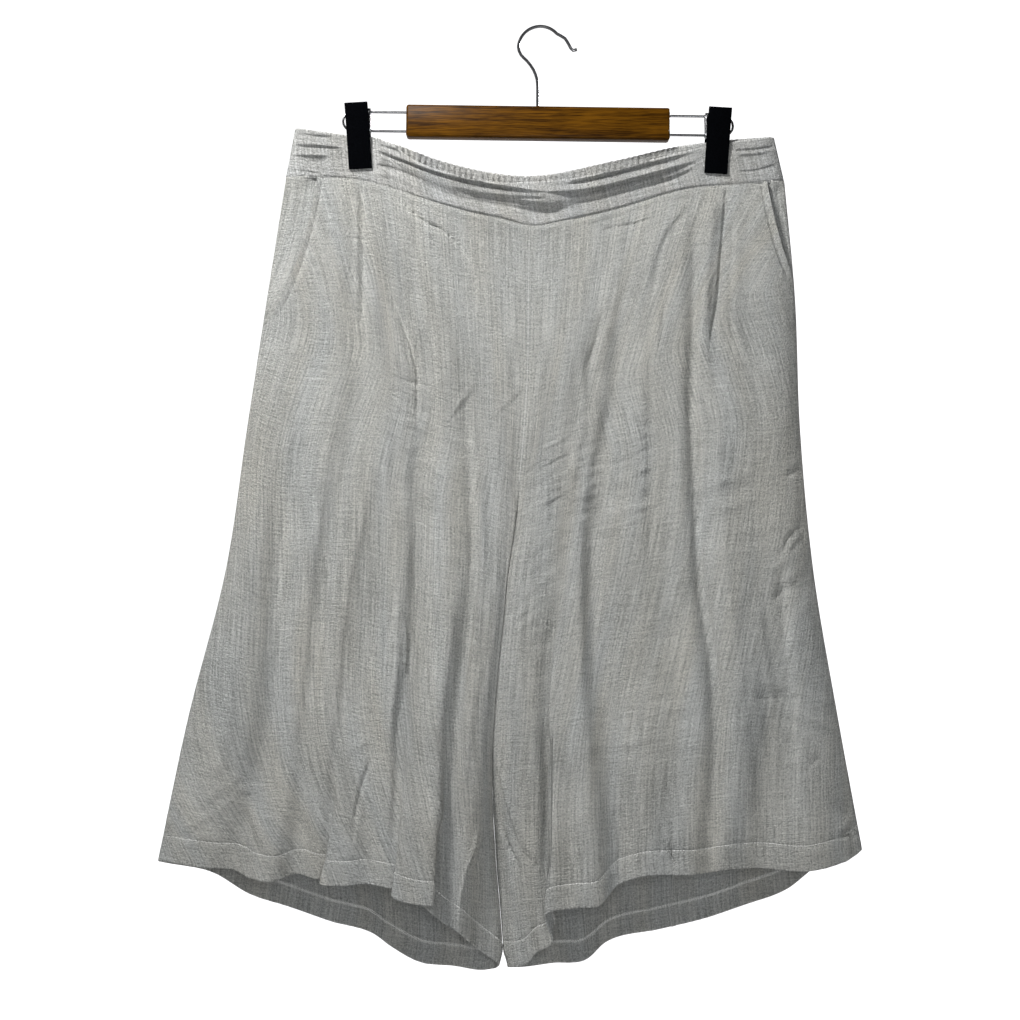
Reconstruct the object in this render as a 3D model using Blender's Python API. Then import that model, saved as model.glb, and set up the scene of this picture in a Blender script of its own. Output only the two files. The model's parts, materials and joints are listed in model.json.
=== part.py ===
"""Wide cropped shorts in slub linen, clipped by the waistband to a wooden hanger.

Run with: blender --background --python part.py

The row frame has its origin on the underside of the hook's crown, where a rail carries it.
X runs to the viewer's right, Y away from the viewer, Z up. Tables are in millimetres and the
meshes in metres. Three words place a point of the cloth:
  across  distance to the right of the hook
  drop    distance below the hook
  fore    distance in front of the plane of the side seams, negative behind it
Across and drop are read on the plane of the side seams from VIEW_DISTANCE in front of it, so
cloth that stands nearer is drawn in towards the line of sight by its own fore.
"""

import math
from collections import namedtuple

import bmesh
import bpy
from mathutils import Matrix, Vector

MM = 0.001

# Sight line that the tables are read along
VIEW_DISTANCE = 1150.0
VIEW_ACROSS = -30.0
VIEW_DROP = 482.0

# Cloth
WALL = 1.4
BAND_WALL = 2.4
SEAM_GAP = 0.4
HEM_DEPTH = 24.0
HEM_STEP = 1.5
HEM_EXTRA = 1.0
COLUMNS_PER_FOLD = 3
SEAM_EASE = 26.0
PLEAT_DEPTH = 2.6
PLEAT_END = 330.0
POCKET_ROWS = 5
# Rows down the centre line as shares of the way to the hem's stitching, close at the crotch
FRONT_ROWS = (0, 0.09, 0.18, 0.27, 0.335, 0.37, 0.40, 0.43, 0.50, 0.58, 0.67, 0.77, 0.88, 1)
BACK_ROWS = (0, 0.12, 0.24, 0.33, 0.375, 0.405, 0.435, 0.53, 0.66, 0.82, 1)

# Waistband
BACK_GATHERS = 84
GATHER_HEIGHT = 0.7
PANEL_GATHER_HEIGHT = 2.6
PANEL_GATHER_FADE = 75.0
BACK_COLUMNS = 36

# Crotch
CROTCH_DROP = 482.0
CROTCH_BLEND_ABOVE = 30.0
CROTCH_BLEND_BELOW = 22.0
INSEAM_FORE = 4.0
LEG_GAP = 0.5
HEM_FLICK = 5.0

# Hanger
TILT = math.radians(0.76)
BAR_CENTRE = (-2.0, 95.8)
BAR_SIZE = (263.0, 14.0, 32.0)
BAR_ROUND = 2.5
RAIL_RADIUS = 1.25
RAIL_SPACING = 19.0
RAIL_REACH = 195.0
RAIL_INSERT = 18.0
RAIL_CLEARANCE = 0.3
HOOK_RADIUS = 1.6
HOOK_INSERT = 14.0
CLIP_OFFSET = 178.4
CLIP_WIDTH = 23.0
CLIP_TOP = 80.0
CLIP_HEIGHT = 64.5
CLIP_LEAN = math.radians(3.4)
CLIP_PLATE = 2.0
CLIP_GRIP = 3.3
SLIDER_RADIUS = 0.8
SLIDER_DEPTH = 4.0
SLIDER_INSET = 10.8

# Colours, roughness and metallic values
FINISHES = {
    "linen": ((0.74, 0.74, 0.71, 1.0), 0.92, 0.0),
    "linen_band": ((0.76, 0.76, 0.73, 1.0), 0.92, 0.0),
    "wood": ((0.22, 0.10, 0.03, 1.0), 0.4, 0.0),
    "steel": ((0.62, 0.62, 0.62, 1.0), 0.25, 1.0),
    "clip_black": ((0.008, 0.008, 0.010, 1.0), 0.65, 0.0),
}

# Drops of the five sections that every fold line is given at. The sixth is its own hem.
SECTIONS = (150.0, 270.0, 400.0, 540.0, 690.0)

# How deep the folds are at each section and at the hem, as a share of the depth in the tables
FOLD_SHARE = (0.30, 0.40, 0.55, 0.72, 0.90, 1.0)

FoldLine = namedtuple("FoldLine", "name hem across fore")

SIDE_LEFT = FoldLine("side seam", 832, (-254, -273, -293, -314, -352, -382), (0, 0, 0, 0, 0, 0))
SIDE_RIGHT = FoldLine("side seam", 821, (244, 255, 260, 273, 298, 322), (0, 0, 0, 0, 0, 0))

# The centre seam and, below the crotch, the line where the two legs hang against each other
Line = namedtuple("Line", "drop across")
CENTRE = Line(
    (150, 270, 354, 412, 459, 482, 507, 546, 592, 642, 710, 760, 830, 924, 941),
    (-10, -11.6, -13, -17, -21.2, -22.6, -26, -32, -36.6, -42, -47, -47.6, -44, -37, -36.6),
)

FRONT_LEFT = (
    SIDE_LEFT,
    FoldLine("side roll", 833, (-248, -266, -286, -307, -344, -374), (6, 8, 9, 9, 10, 10)),
    FoldLine("crest A", 839, (-222, -242, -264, -288, -306, -334), (9, 16, 22, 25, 26, 21)),
    FoldLine("trough A", 841, (-207, -222, -236, -256, -276, -306), (8, 14, 18, 17, 19, 18)),
    FoldLine("rise B", 849, (-202, -210, -222, -240, -262, -291), (9, 16, 22, 22, 26, 27)),
    FoldLine("crest B", 853, (-196, -202, -214, -229, -250, -272), (9, 17, 24, 26, 30, 34)),
    FoldLine("pleat furrow", 845, (-184, -187, -198, -212, -234, -243), (4, 6, 9, 10, 16, 20)),
    FoldLine("crest C", 850, (-174, -176, -178, -188, -207, -224), (10, 18, 26, 32, 38, 34)),
    FoldLine("tuck C", 851, (-156, -162, -164, -174, -196, -216), (9, 15, 20, 25, 30, 34)),
    FoldLine("edge D", 855, (-150, -157, -158, -166, -188, -220), (9, 15, 21, 26, 34, 44)),
    FoldLine("crest D", 857, (-144, -152, -152, -158, -178, -198), (10, 17, 24, 28, 38, 48)),
    FoldLine("dip D", 855, (-138, -147, -146, -152, -164, -174), (10, 17, 26, 31, 38, 41)),
    FoldLine("crest E", 859, (-132, -141, -140, -144, -149, -153), (10, 18, 28, 36, 45, 48)),
    FoldLine("tuck E", 861, (-120, -129, -124, -120, -138, -144), (9, 14, 18, 22, 36, 48)),
    FoldLine("edge F", 867, (-108, -110, -112, -112, -132, -148.5), (10, 17, 22, 26, 40, 58)),
    FoldLine("crest F", 875, (-92, -94, -94, -92, -116, -128), (10, 18, 27, 36, 48, 62)),
    FoldLine("edge G", 877, (-82, -85, -84, -80, -103, -106.5), (10, 17, 25, 34, 48, 60)),
    FoldLine("tuck G", 878, (-72, -76, -68, -62, -84, -115), (9, 14, 17, 20, 30, 36)),
    FoldLine("rise H", 893, (-60, -62, -56, -54, -74, -98), (9, 16, 22, 30, 38, 34)),
    FoldLine("crest H", 905, (-44, -46, -42, -44, -60, -80), (10, 17, 26, 38, 45, 38)),
    FoldLine("turn", 917, (-28, -28, -30, -35, -49.5, -66), (11, 18, 27, 27, 27, 22)),
    FoldLine("centre and inseam", 938, (), (12, 19, 27, 27, 27, 27)),
)

FRONT_RIGHT = (
    SIDE_RIGHT,
    FoldLine("side roll", 829, (238, 248, 253, 266, 291, 312), (6, 8, 9, 9, 10, 10)),
    FoldLine("crest A", 842, (222, 232, 236, 240, 256, 272), (10, 15, 18, 22, 26, 30)),
    FoldLine("trough A", 839, (208, 207, 218, 223, 232, 214), (8, 11, 13, 16, 18, 22)),
    FoldLine("crest B", 840, (193, 190, 184, 193, 210, 195), (11, 21, 26, 31, 33, 28)),
    FoldLine("pleat furrow", 841, (187, 178, 177, 186, 204, 187), (6, 10, 26, 32, 34, 31)),
    FoldLine("crest C", 842, (175, 167, 171, 179, 197, 179), (11, 18, 26, 31, 33, 32)),
    FoldLine("trough C", 843, (160, 154, 156, 162, 178, 171), (7, 9, 14, 19, 24, 27)),
    FoldLine("crest D", 846, (148, 140, 140, 146, 160, 152), (11, 19, 25, 29, 33, 34)),
    FoldLine("trough D", 846, (132, 124, 122, 124, 140, 128), (10, 16, 20, 26, 30, 33)),
    FoldLine("crest E", 847, (116, 108, 102, 100, 108, 106), (11, 18, 26, 33, 37, 35)),
    FoldLine("trough E", 855, (96, 82, 72, 54, 67, 80), (10, 15, 15, 13, 18, 22)),
    FoldLine("crest F", 878, (86, 72, 53, 38, 42, 56), (11, 20, 28, 34, 42, 50)),
    FoldLine("dip F", 879, (74, 60, 42, 30, 26, 36), (10, 15, 25, 33, 40, 49)),
    FoldLine("edge G", 886, (60, 48, 32, 22, 7.5, 5.5), (11, 19, 27, 33, 39, 50)),
    FoldLine("tuck G", 917, (50, 40, 22, 14, 12, 10), (11, 19, 27, 30, 28, 31)),
    FoldLine("crest G", 923, (32, 26, 6, -4, -8, -3), (11, 19, 28, 34, 36, 30)),
    FoldLine("turn", 934, (12, 8, -2, -28, -43, -12), (11, 19, 28, 28, 28, 24)),
    FoldLine("centre and inseam", 938, (), (12, 19, 27, 27, 27, 27)),
)

BACK_LEFT = (
    SIDE_LEFT,
    FoldLine("side roll", 834, (-248, -266, -286, -307, -344, -372), (-6, -8, -9, -9, -10, -10)),
    FoldLine("crest A", 843, (-225, -240, -260, -282, -308, -328), (-12, -16, -22, -28, -28, -26)),
    FoldLine("trough A", 865, (-195, -210, -228, -250, -278, -290), (-10, -12, -14, -16, -17, -16)),
    FoldLine("crest B", 878, (-168, -180, -195, -215, -240, -250), (-12, -18, -26, -30, -33, -33)),
    FoldLine("trough B", 892, (-140, -150, -162, -178, -200, -210), (-12, -13, -14, -17, -19, -20)),
    FoldLine("crest C", 905, (-112, -120, -130, -140, -160, -166), (-13, -20, -28, -34, -38, -38)),
    FoldLine("edge D", 918, (-85, -92, -100, -110, -132, -148), (-13, -14, -16, -21, -27, -32)),
    FoldLine("crest D", 933, (-60, -62, -66, -78, -100, -120), (-14, -22, -28, -32, -32, -27)),
    FoldLine("trough D", 937, (-36, -38, -42, -56, -72, -85), (-14, -18, -22, -23, -22, -18)),
    FoldLine("turn", 941, (-22, -24, -28, -42, -55, -58), (-14, -20, -24, -14, -12, -8)),
    FoldLine("centre and inseam", 938, (), (-14, -20, -24, -24, -24, -24)),
)

BACK_RIGHT = (
    SIDE_RIGHT,
    FoldLine("side roll", 825, (238, 248, 253, 266, 291, 314), (-6, -8, -9, -9, -10, -10)),
    FoldLine("crest A", 834, (215, 225, 228, 242, 265, 282), (-12, -16, -22, -28, -28, -26)),
    FoldLine("trough A", 861, (188, 195, 200, 210, 228, 245), (-10, -12, -14, -16, -17, -16)),
    FoldLine("crest B", 876, (160, 165, 168, 175, 188, 204), (-12, -18, -26, -30, -33, -33)),
    FoldLine("trough B", 890, (132, 134, 136, 140, 150, 162), (-12, -13, -14, -17, -19, -20)),
    FoldLine("crest C", 900, (105, 105, 102, 105, 112, 120), (-13, -20, -28, -34, -38, -38)),
    FoldLine("edge D", 913, (78, 74, 66, 66, 72, 66), (-13, -14, -16, -21, -27, -32)),
    FoldLine("crest D", 931, (52, 45, 35, 35, 40, 45), (-14, -22, -28, -32, -32, -27)),
    FoldLine("trough D", 934, (22, 15, 8, 0, 5, 12), (-14, -18, -22, -23, -22, -18)),
    FoldLine("turn", 938, (4, 0, -4, -22, -34, -18), (-14, -20, -24, -14, -12, -8)),
    FoldLine("centre and inseam", 938, (), (-14, -20, -24, -24, -24, -24)),
)

# Edges of the two waistbands, each a drop against across
Edge = namedtuple("Edge", "across drop")
FRONT_TOP = Edge((-245, -190, -160, -125, -75, -10, 72, 150, 192, 234), (101, 109, 112, 133, 151, 155, 144, 123, 115, 110))
FRONT_SEAM = Edge((-254, -181, -102, -10, 72, 152, 187, 244), (149, 152, 175, 197, 182, 160, 157, 153))
BACK_TOP = Edge((-245, -190, -153, -101, -12, 75, 142, 192, 234), (101, 109, 115, 133.5, 149, 134, 119, 113, 110))
BACK_SEAM = Edge((-254, -181, -102, -10, 72, 152, 187, 244), (149, 153, 172, 190, 177, 159, 156, 153))

# How far the bands stand from the plane of the side seams: pinched at each clip, slack between
Bow = namedtuple("Bow", "across top seam")
BOW = Bow(
    (-254, -250, -216, -196, -164, -120, -10, 98, 161, 193, 214, 240, 244),
    (0.3, 3.0, 4.0, 2.9, 2.9, 13, 22, 13, 2.9, 2.9, 4.0, 3.0, 0.3),
    (0.3, 3.4, 5.0, 3.0, 3.0, 11, 17, 11, 3.0, 3.0, 5.0, 3.4, 0.3),
)
# Creases that run along the slack front band, as a height against the share of its depth
BAND_CREASE = Edge((0.0, 0.14, 0.28, 0.44, 0.62, 0.8, 1.0), (0, 1.6, 1.8, -0.4, -1.6, 0.8, 0))
BAND_ROWS = (0.0, 0.14, 0.28, 0.44, 0.62, 0.8, 1.0)
BACK_BAND_ROWS = (0.0, 0.5, 1.0)
BAND_COLUMNS = 48

# Slanted pockets: how far the front's edge stands in from the side seam, and where it ends
Pocket = namedtuple("Pocket", "inset length bow")
POCKET_LEFT = Pocket(31.0, 151.0, 2.0)
POCKET_RIGHT = Pocket(17.0, 96.0, 1.2)
POCKET_UNDERLAP = 11.0
FACING_STEP = 0.9
FACING_COLUMNS = 6
FACING_CLOSE = 0.8
FACING_LOWEST = 1.7

# Path of the hook's wire in its own plane, as across and drop: the arc is worked out from its
# centre and radius, and these points carry it down to the bar and out to the tip.
HOOK_CENTRE = (0.4, 20.6)
HOOK_ARC_RADIUS = 22.2
HOOK_SHANK = ((-2.4, 86.0), (-2.4, 64.0), (-2.9, 52.0), (-6.5, 42.0), (-13.0, 33.0), (-19.0, 27.0))
HOOK_TIP = ((25.0, 10.5), (29.0, 17.0), (33.0, 22.5), (36.8, 21.5))
HOOK_ARC_FROM = math.radians(176.0)
HOOK_ARC_TO = math.radians(42.0)
HOOK_ARC_STEPS = 12


# ---------------------------------------------------------------- curves

def smooth(low, high, value):
    """0 below low, 1 above high, and an even turn between."""
    share = min(1.0, max(0.0, (value - low) / (high - low)))
    return share * share * (3.0 - 2.0 * share)


def hermite(start, end, start_slope, end_slope, share):
    """A point of the cubic between start and end. Slopes are per unit of share."""
    square, cube = share * share, share * share * share
    return (
        start * (2 * cube - 3 * square + 1)
        + start_slope * (cube - 2 * square + share)
        + end * (3 * square - 2 * cube)
        + end_slope * (cube - square)
    )


def slope_at(before, here, after, gap_before, gap_after):
    """Slope at a knot between two spans, following the shorter span more closely."""
    rise_before = (here - before) / gap_before
    rise_after = (after - here) / gap_after
    return (rise_before * gap_after + rise_after * gap_before) / (gap_before + gap_after)


def knot_slopes(knots, values):
    last = len(knots) - 1
    gaps = [knots[i + 1] - knots[i] for i in range(last)]
    slopes = [(values[1] - values[0]) / gaps[0]]
    for i in range(1, last):
        slopes.append(slope_at(values[i - 1], values[i], values[i + 1], gaps[i - 1], gaps[i]))
    slopes.append((values[last] - values[last - 1]) / gaps[last - 1])
    return slopes


def graph(knots, values, at):
    """A smooth curve through values against knots, flat past its ends."""
    if at <= knots[0]:
        return values[0]
    if at >= knots[-1]:
        return values[-1]
    slopes = knot_slopes(knots, values)
    i = max(k for k in range(len(knots) - 1) if knots[k] <= at)
    span = knots[i + 1] - knots[i]
    share = (at - knots[i]) / span
    return hermite(values[i], values[i + 1], slopes[i] * span, slopes[i + 1] * span, share)


class Section:
    """A smooth curve through the points where one level cuts the fold lines."""

    def __init__(self, points, start=None, end=None):
        """start and end are unit directions of the curve at its two ends."""
        self.points = points
        last = len(points) - 1
        self.chords = [max(1e-6, (points[i + 1] - points[i]).length) for i in range(last)]
        lengths = [0.0]
        for chord in self.chords:
            lengths.append(lengths[-1] + chord)
        self.slopes = knot_slopes(lengths, points)
        if start is not None:
            self.slopes[0] = start
        if end is not None:
            self.slopes[last] = end

    def at(self, place):
        """The point at a place counted in fold lines, such as 2.5."""
        i = min(int(place), len(self.points) - 2)
        chord = self.chords[i]
        return hermite(
            self.points[i], self.points[i + 1],
            self.slopes[i] * chord, self.slopes[i + 1] * chord, place - i,
        )

    def outward(self, place, facing):
        """Unit normal across the section, with no height. facing is 1 or -1."""
        step = 0.02
        low, high = max(0.0, place - step), min(len(self.points) - 1.0, place + step)
        run = self.at(high) - self.at(low)
        normal = Vector((-run.z, 0.0, run.x)) * facing
        return normal.normalized()


# ---------------------------------------------------------------- places

def placed(point):
    """Row frame metres of a point given as (across, drop, fore)."""
    across, drop, fore = point
    draw_in = 1.0 - fore / VIEW_DISTANCE
    x = VIEW_ACROSS + (across - VIEW_ACROSS) * draw_in
    z = VIEW_DROP + (drop - VIEW_DROP) * draw_in
    return Vector((x, -fore, -z)) * MM


def line_across(line, drop):
    if not line.across:
        return graph(CENTRE.drop, CENTRE.across, drop)
    return graph(SECTIONS + (line.hem,), line.across, drop)


def line_fore(line, drop):
    return graph(SECTIONS + (line.hem,), line.fore, drop)


def fold_share(line, drop):
    return graph(SECTIONS + (line.hem,), FOLD_SHARE, drop)


def seam_drop(seam, across):
    return graph(seam.across, seam.drop, across)


def seam_fore(across, side):
    """Fore of the waist seam, side being 1 for the front and -1 for the back."""
    return side * graph(BOW.across, BOW.seam, across)


def below_crotch(drop):
    """0 where left and right are sewn together down the centre, 1 where each leg is closed."""
    return smooth(CROTCH_DROP - CROTCH_BLEND_ABOVE, CROTCH_DROP + CROTCH_BLEND_BELOW, drop)


def line_top(line, seam):
    """Drop at which a fold line leaves the waist seam."""
    return seam_drop(seam, line.across[0] if line.across else CENTRE.across[0])


def line_drop(line, down, seam):
    top = line_top(line, seam)
    return top + down * (line.hem - top)


def kept_to_leg(point, inward, hem):
    """Holds a point of one leg off the other leg, and turns the hem's corner out a little."""
    gap = LEG_GAP * below_crotch(point.y)
    gap += HEM_FLICK * smooth(hem - 22.0, hem, point.y) ** 1.5
    limit = graph(CENTRE.drop, CENTRE.across, point.y) - inward * gap
    if inward * (point.x - limit) > 0:
        point.x = limit
    return point


def level(lines, row, seam, side, inward):
    """The section of a panel at one of its rows."""
    last = len(lines) - 1
    downs = [row[0] + (row[1] - row[0]) * i / last for i in range(last + 1)]
    drops = [line_drop(line, down, seam) for line, down in zip(lines, downs)]
    fores = [line_fore(line, drop) for line, drop in zip(lines, drops)]
    points = []
    for i, line in enumerate(lines):
        drop, fore = drops[i], fores[i]
        if 1 < i < last - 1:
            around = (fores[i - 1] + 2 * fores[i] + fores[i + 1]) / 4
            fore = around + fold_share(line, drop) * (fore - around)
        if line.name == "pleat furrow":
            fore -= PLEAT_DEPTH * (1.0 - smooth(0.5 * PLEAT_END, PLEAT_END, drop))
        if i == last:
            fore += (INSEAM_FORE - fore) * below_crotch(drop)
        across = line_across(line, drop)
        sewn = 1.0 - smooth(0.0, SEAM_EASE, drop - line_top(line, seam))
        fore += (seam_fore(across, side) - fore) * sewn
        points.append(Vector((across, drop, fore)))
    closed = below_crotch(drops[last])
    end = Vector((inward * (1.0 - 0.75 * closed), 0.0, -side * closed)).normalized()
    return Section(points, start=Vector((0.0, 0.0, side)), end=end)


def pocket_edge(pocket, side_across, drop, top, inward):
    """Across of the pocket's edge, which meets the side seam at its lower end."""
    share = min(1.0, max(0.0, (drop - top) / pocket.length))
    return side_across + inward * pocket.inset * (1.0 - share ** pocket.bow)


def place_of_across(section, across, inward, limit):
    """Where a section passes a given across, searched between its start and limit."""
    low, high = 0.0, limit
    for _ in range(30):
        middle = (low + high) / 2
        if (section.at(middle).x - across) * inward < 0:
            low = middle
        else:
            high = middle
    return (low + high) / 2


# ---------------------------------------------------------------- meshes

def finish(name):
    material = bpy.data.materials.get(name)
    if material is None:
        colour, roughness, metallic = FINISHES[name]
        material = bpy.data.materials.new(name)
        material.use_nodes = True
        shader = material.node_tree.nodes["Principled BSDF"]
        shader.inputs["Base Color"].default_value = colour
        shader.inputs["Roughness"].default_value = roughness
        shader.inputs["Metallic"].default_value = metallic
        material.diffuse_color = colour
    return material


def add_object(name, data, material):
    thing = bpy.data.objects.new(name, data)
    bpy.context.scene.collection.objects.link(thing)
    data.materials.append(finish(material))
    return thing


def mesh_object(name, sheet, material, sharp_angle=math.radians(35)):
    bmesh.ops.recalc_face_normals(sheet, faces=sheet.faces)
    data = bpy.data.meshes.new(name)
    sheet.to_mesh(data)
    sheet.free()
    data.shade_smooth()
    data.set_sharp_from_angle(angle=sharp_angle)
    return add_object(name, data, material)


def wall_object(name, outer, inner, material):
    """A closed wall between two grids of (across, drop, fore) points, rows from top to bottom."""
    sheet = bmesh.new()
    rows, columns = len(outer), len(outer[0])
    faces = [
        [[sheet.verts.new(placed(point)) for point in row] for row in grid]
        for grid in (outer, inner)
    ]
    for grid in faces:
        for i in range(rows - 1):
            for j in range(columns - 1):
                sheet.faces.new((grid[i][j], grid[i][j + 1], grid[i + 1][j + 1], grid[i + 1][j]))
    rim = [(0, j) for j in range(columns)]
    rim += [(i, columns - 1) for i in range(1, rows)]
    rim += [(rows - 1, j) for j in range(columns - 2, -1, -1)]
    rim += [(i, 0) for i in range(rows - 2, 0, -1)]
    for (i, j), (k, m) in zip(rim, rim[1:] + rim[:1]):
        sheet.faces.new((faces[0][i][j], faces[0][k][m], faces[1][k][m], faces[1][i][j]))
    return mesh_object(name, sheet, material)


# ---------------------------------------------------------------- leg panels

def panel_rows(lines, seam, centre_rows, pocket):
    """Rows of a panel, each as the share down its side seam and the share down its centre.

    They lie close beside a pocket, and step where the hem is turned up.
    """
    side_length = lines[0].hem - line_top(lines[0], seam)
    centre_length = lines[-1].hem - line_top(lines[-1], seam)
    side_stitching = 1.0 - (HEM_DEPTH + HEM_STEP) / side_length
    centre_stitching = 1.0 - (HEM_DEPTH + HEM_STEP) / centre_length
    last = len(centre_rows) - 1
    side_shares = [side_stitching * i / last for i in range(last + 1)]
    if pocket:
        pocket_end = pocket.length / side_length
        below = last - POCKET_ROWS
        side_shares = [pocket_end * i / POCKET_ROWS for i in range(POCKET_ROWS)]
        side_shares += [
            pocket_end + (side_stitching - pocket_end) * i / below for i in range(below + 1)
        ]
    rows = [(side, centre_stitching * share) for side, share in zip(side_shares, centre_rows)]
    hem_top = (1.0 - HEM_DEPTH / side_length, 1.0 - HEM_DEPTH / centre_length)
    return rows + [hem_top, (1.0, 1.0)]


def on_panel(section, place, is_top, seam, side):
    """A point of a panel's outer face, exactly on the waist seam in its top row."""
    point = section.at(place)
    if is_top:
        return Vector((point.x, seam_drop(seam, point.x), seam_fore(point.x, side)))
    return point


def edge_normal(j, columns, side, inward, drop, normal):
    """Squares the wall off at its side seam and at its centre seam or inseam."""
    if j == 0:
        return Vector((-inward, 0.0, 0.0))
    if j == columns:
        closed = below_crotch(drop)
        return Vector((inward * closed, 0.0, side * (1.0 - closed))).normalized()
    return normal


def seam_shift(i, j, columns, side, inward, drop):
    """Half a seam gap, so that no two panels touch where they are sewn together."""
    half = SEAM_GAP / 2
    shift = Vector((0.0, half if i == 0 else 0.0, 0.0))
    if j == 0:
        shift.z += side * half
    if j == columns:
        shift.x -= inward * half
        shift.z += side * half * below_crotch(drop)
    return shift


def panel(name, lines, seam, side, inward, centre_rows, columns, pocket=None, gathers=0):
    """One front or back of a leg. inward is 1 where the centre lies to the right of it."""
    last = len(lines) - 1
    rows = panel_rows(lines, seam, centre_rows, pocket)
    top = line_top(lines[0], seam)
    outer, inner = [], []
    for i, row in enumerate(rows):
        section = level(lines, row, seam, side, inward)
        thickness = WALL + (HEM_EXTRA if i >= len(rows) - 2 else 0.0)
        start, opened = 0.0, False
        if pocket is not None and i < POCKET_ROWS:
            opened = True
            edge = pocket_edge(pocket, section.points[0].x, section.points[0].y, top, inward)
            start = place_of_across(section, edge, inward, 2.5)
        row_outer, row_inner = [], []
        for j in range(columns + 1):
            place = last * j / columns
            if place < 3.0:
                place = start + place * (3.0 - start) / 3.0
            point = on_panel(section, place, i == 0, seam, side)
            point = kept_to_leg(point, inward, lines[-1].hem)
            normal = section.outward(place, side * inward)
            if j > 0 or not opened:
                normal = edge_normal(j, columns, side, inward, point.y, normal)
            if j == 1 and i == 0 and not opened:
                normal = Vector((-inward, 0.0, side)).normalized()
            if gathers and i > 0 and 0 < j < columns:
                fade = math.exp((seam_drop(seam, point.x) - point.y) / PANEL_GATHER_FADE)
                point = point + normal * PANEL_GATHER_HEIGHT * fade * (1 if j % 2 else -1)
            point = point + seam_shift(i, j, columns, side, inward, point.y)
            under = point - normal * thickness
            row_outer.append(point)
            row_inner.append(on_side(under, side) if j < COLUMNS_PER_FOLD else under)
        outer.append(row_outer)
        inner.append(row_inner)
    return wall_object(name, outer, inner, "linen")


def on_side(point, side):
    """Holds a point on the front's or the back's side of the side seams' plane."""
    point.z = side * max(side * point.z, SEAM_GAP / 2)
    return point


def pocket_facing(name, lines, pocket, inward):
    """The piece that shows inside a slanted pocket, from the side seam to behind its edge."""
    top = line_top(lines[0], FRONT_SEAM)
    behind = WALL + FACING_STEP
    outer, inner = [], []
    rows = panel_rows(lines, FRONT_SEAM, FRONT_ROWS, pocket)[:POCKET_ROWS + 1]
    above, lowest = rows[-2:]
    rows[-1] = tuple(a + FACING_CLOSE * (b - a) for a, b in zip(above, lowest))
    for i, row in enumerate(rows):
        section = level(lines, row, FRONT_SEAM, 1, inward)
        side_across = section.points[0].x
        edge = pocket_edge(pocket, side_across, section.points[0].y, top, inward)
        start = place_of_across(section, edge, inward, 2.9)
        end = place_of_across(section, edge + inward * POCKET_UNDERLAP, inward, 2.9)
        row_outer, row_inner = [], []
        for j in range(FACING_COLUMNS + 1):
            place = end * j / FACING_COLUMNS
            normal = section.outward(place, inward)
            normal = edge_normal(j, FACING_COLUMNS + 1, 1, inward, section.points[0].y, normal)
            hidden = smooth(0.25 * start, 0.6 * start, place)
            hidden *= FACING_LOWEST if i == POCKET_ROWS else 1.0
            point = on_panel(section, place, i == 0, FRONT_SEAM, 1)
            point -= normal * behind * hidden
            point += seam_shift(i, j, FACING_COLUMNS + 1, 1, inward, point.y)
            point = on_side(point, 1)
            row_outer.append(point)
            row_inner.append(on_side(point - normal * WALL, 1))
        outer.append(row_outer)
        inner.append(row_inner)
    return wall_object(name, outer, inner, "linen")


# ---------------------------------------------------------------- waistbands

def band_slack(across):
    """1 where the band hangs slack, 0 where a clip pinches it or it turns at a side."""
    left, right = -180.0, 177.0
    between = smooth(left + 18, left + 75, across) * (1 - smooth(right - 75, right - 18, across))
    outside = (1 - smooth(left - 38, left - 18, across)) * smooth(-250, -236, across)
    outside += smooth(right + 18, right + 34, across) * (1 - smooth(226, 240, across))
    return between + 0.3 * outside


def band_fore(across, share):
    """Fore of a band at a share of its height."""
    top = graph(BOW.across, BOW.top, across)
    seam = graph(BOW.across, BOW.seam, across)
    return top + share * (seam - top)


def waistband(name, top_edge, seam, side, columns, rows, crease, gathers=0):
    """A band from side seam to side seam, on the front or the back."""
    outer, inner = [], []
    for share in rows:
        left = top_edge.across[0] + share * (seam.across[0] - top_edge.across[0])
        right = top_edge.across[-1] + share * (seam.across[-1] - top_edge.across[-1])
        points = []
        for j in range(columns + 1):
            across = left + (right - left) * j / columns
            widened = across * (seam.across[0] / left if across < 0 else seam.across[-1] / right)
            top = seam_drop(top_edge, across)
            bottom = seam_drop(seam, across) - SEAM_GAP / 2
            fore = band_fore(widened, share)
            fore += crease * band_slack(across) * graph(BAND_CREASE.across, BAND_CREASE.drop, share)
            if gathers and 0 < j < columns:
                fore += GATHER_HEIGHT * (1 if j % 2 else -1) * (0.12 + 0.88 * band_free(across))
            points.append(Vector((across, top + share * (bottom - top), side * fore)))
        row_outer, row_inner = [], []
        for j, point in enumerate(points):
            run = points[min(j + 1, columns)] - points[max(j - 1, 0)]
            normal = Vector((-run.z, 0.0, run.x)).normalized() * side
            if j == 0 or j == columns:
                normal = Vector((-1.0 if j == 0 else 1.0, 0.0, 0.0))
            row_outer.append(point)
            row_inner.append(on_side(point - normal * BAND_WALL, side))
        outer.append(row_outer)
        inner.append(row_inner)
    return wall_object(name, outer, inner, "linen_band")


def band_free(across):
    """0 under a clip, 1 elsewhere."""
    return min(smooth(13, 22, abs(across + 180.0)), smooth(13, 22, abs(across - 177.0)))


# ---------------------------------------------------------------- hanger

def hanger_frame():
    """Turns the hanger's own frame, x along the bar and z up, into the row frame."""
    centre = Vector((BAR_CENTRE[0], 0.0, -BAR_CENTRE[1])) * MM
    return Matrix.Translation(centre) @ Matrix.Rotation(TILT, 4, "Y")


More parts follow.
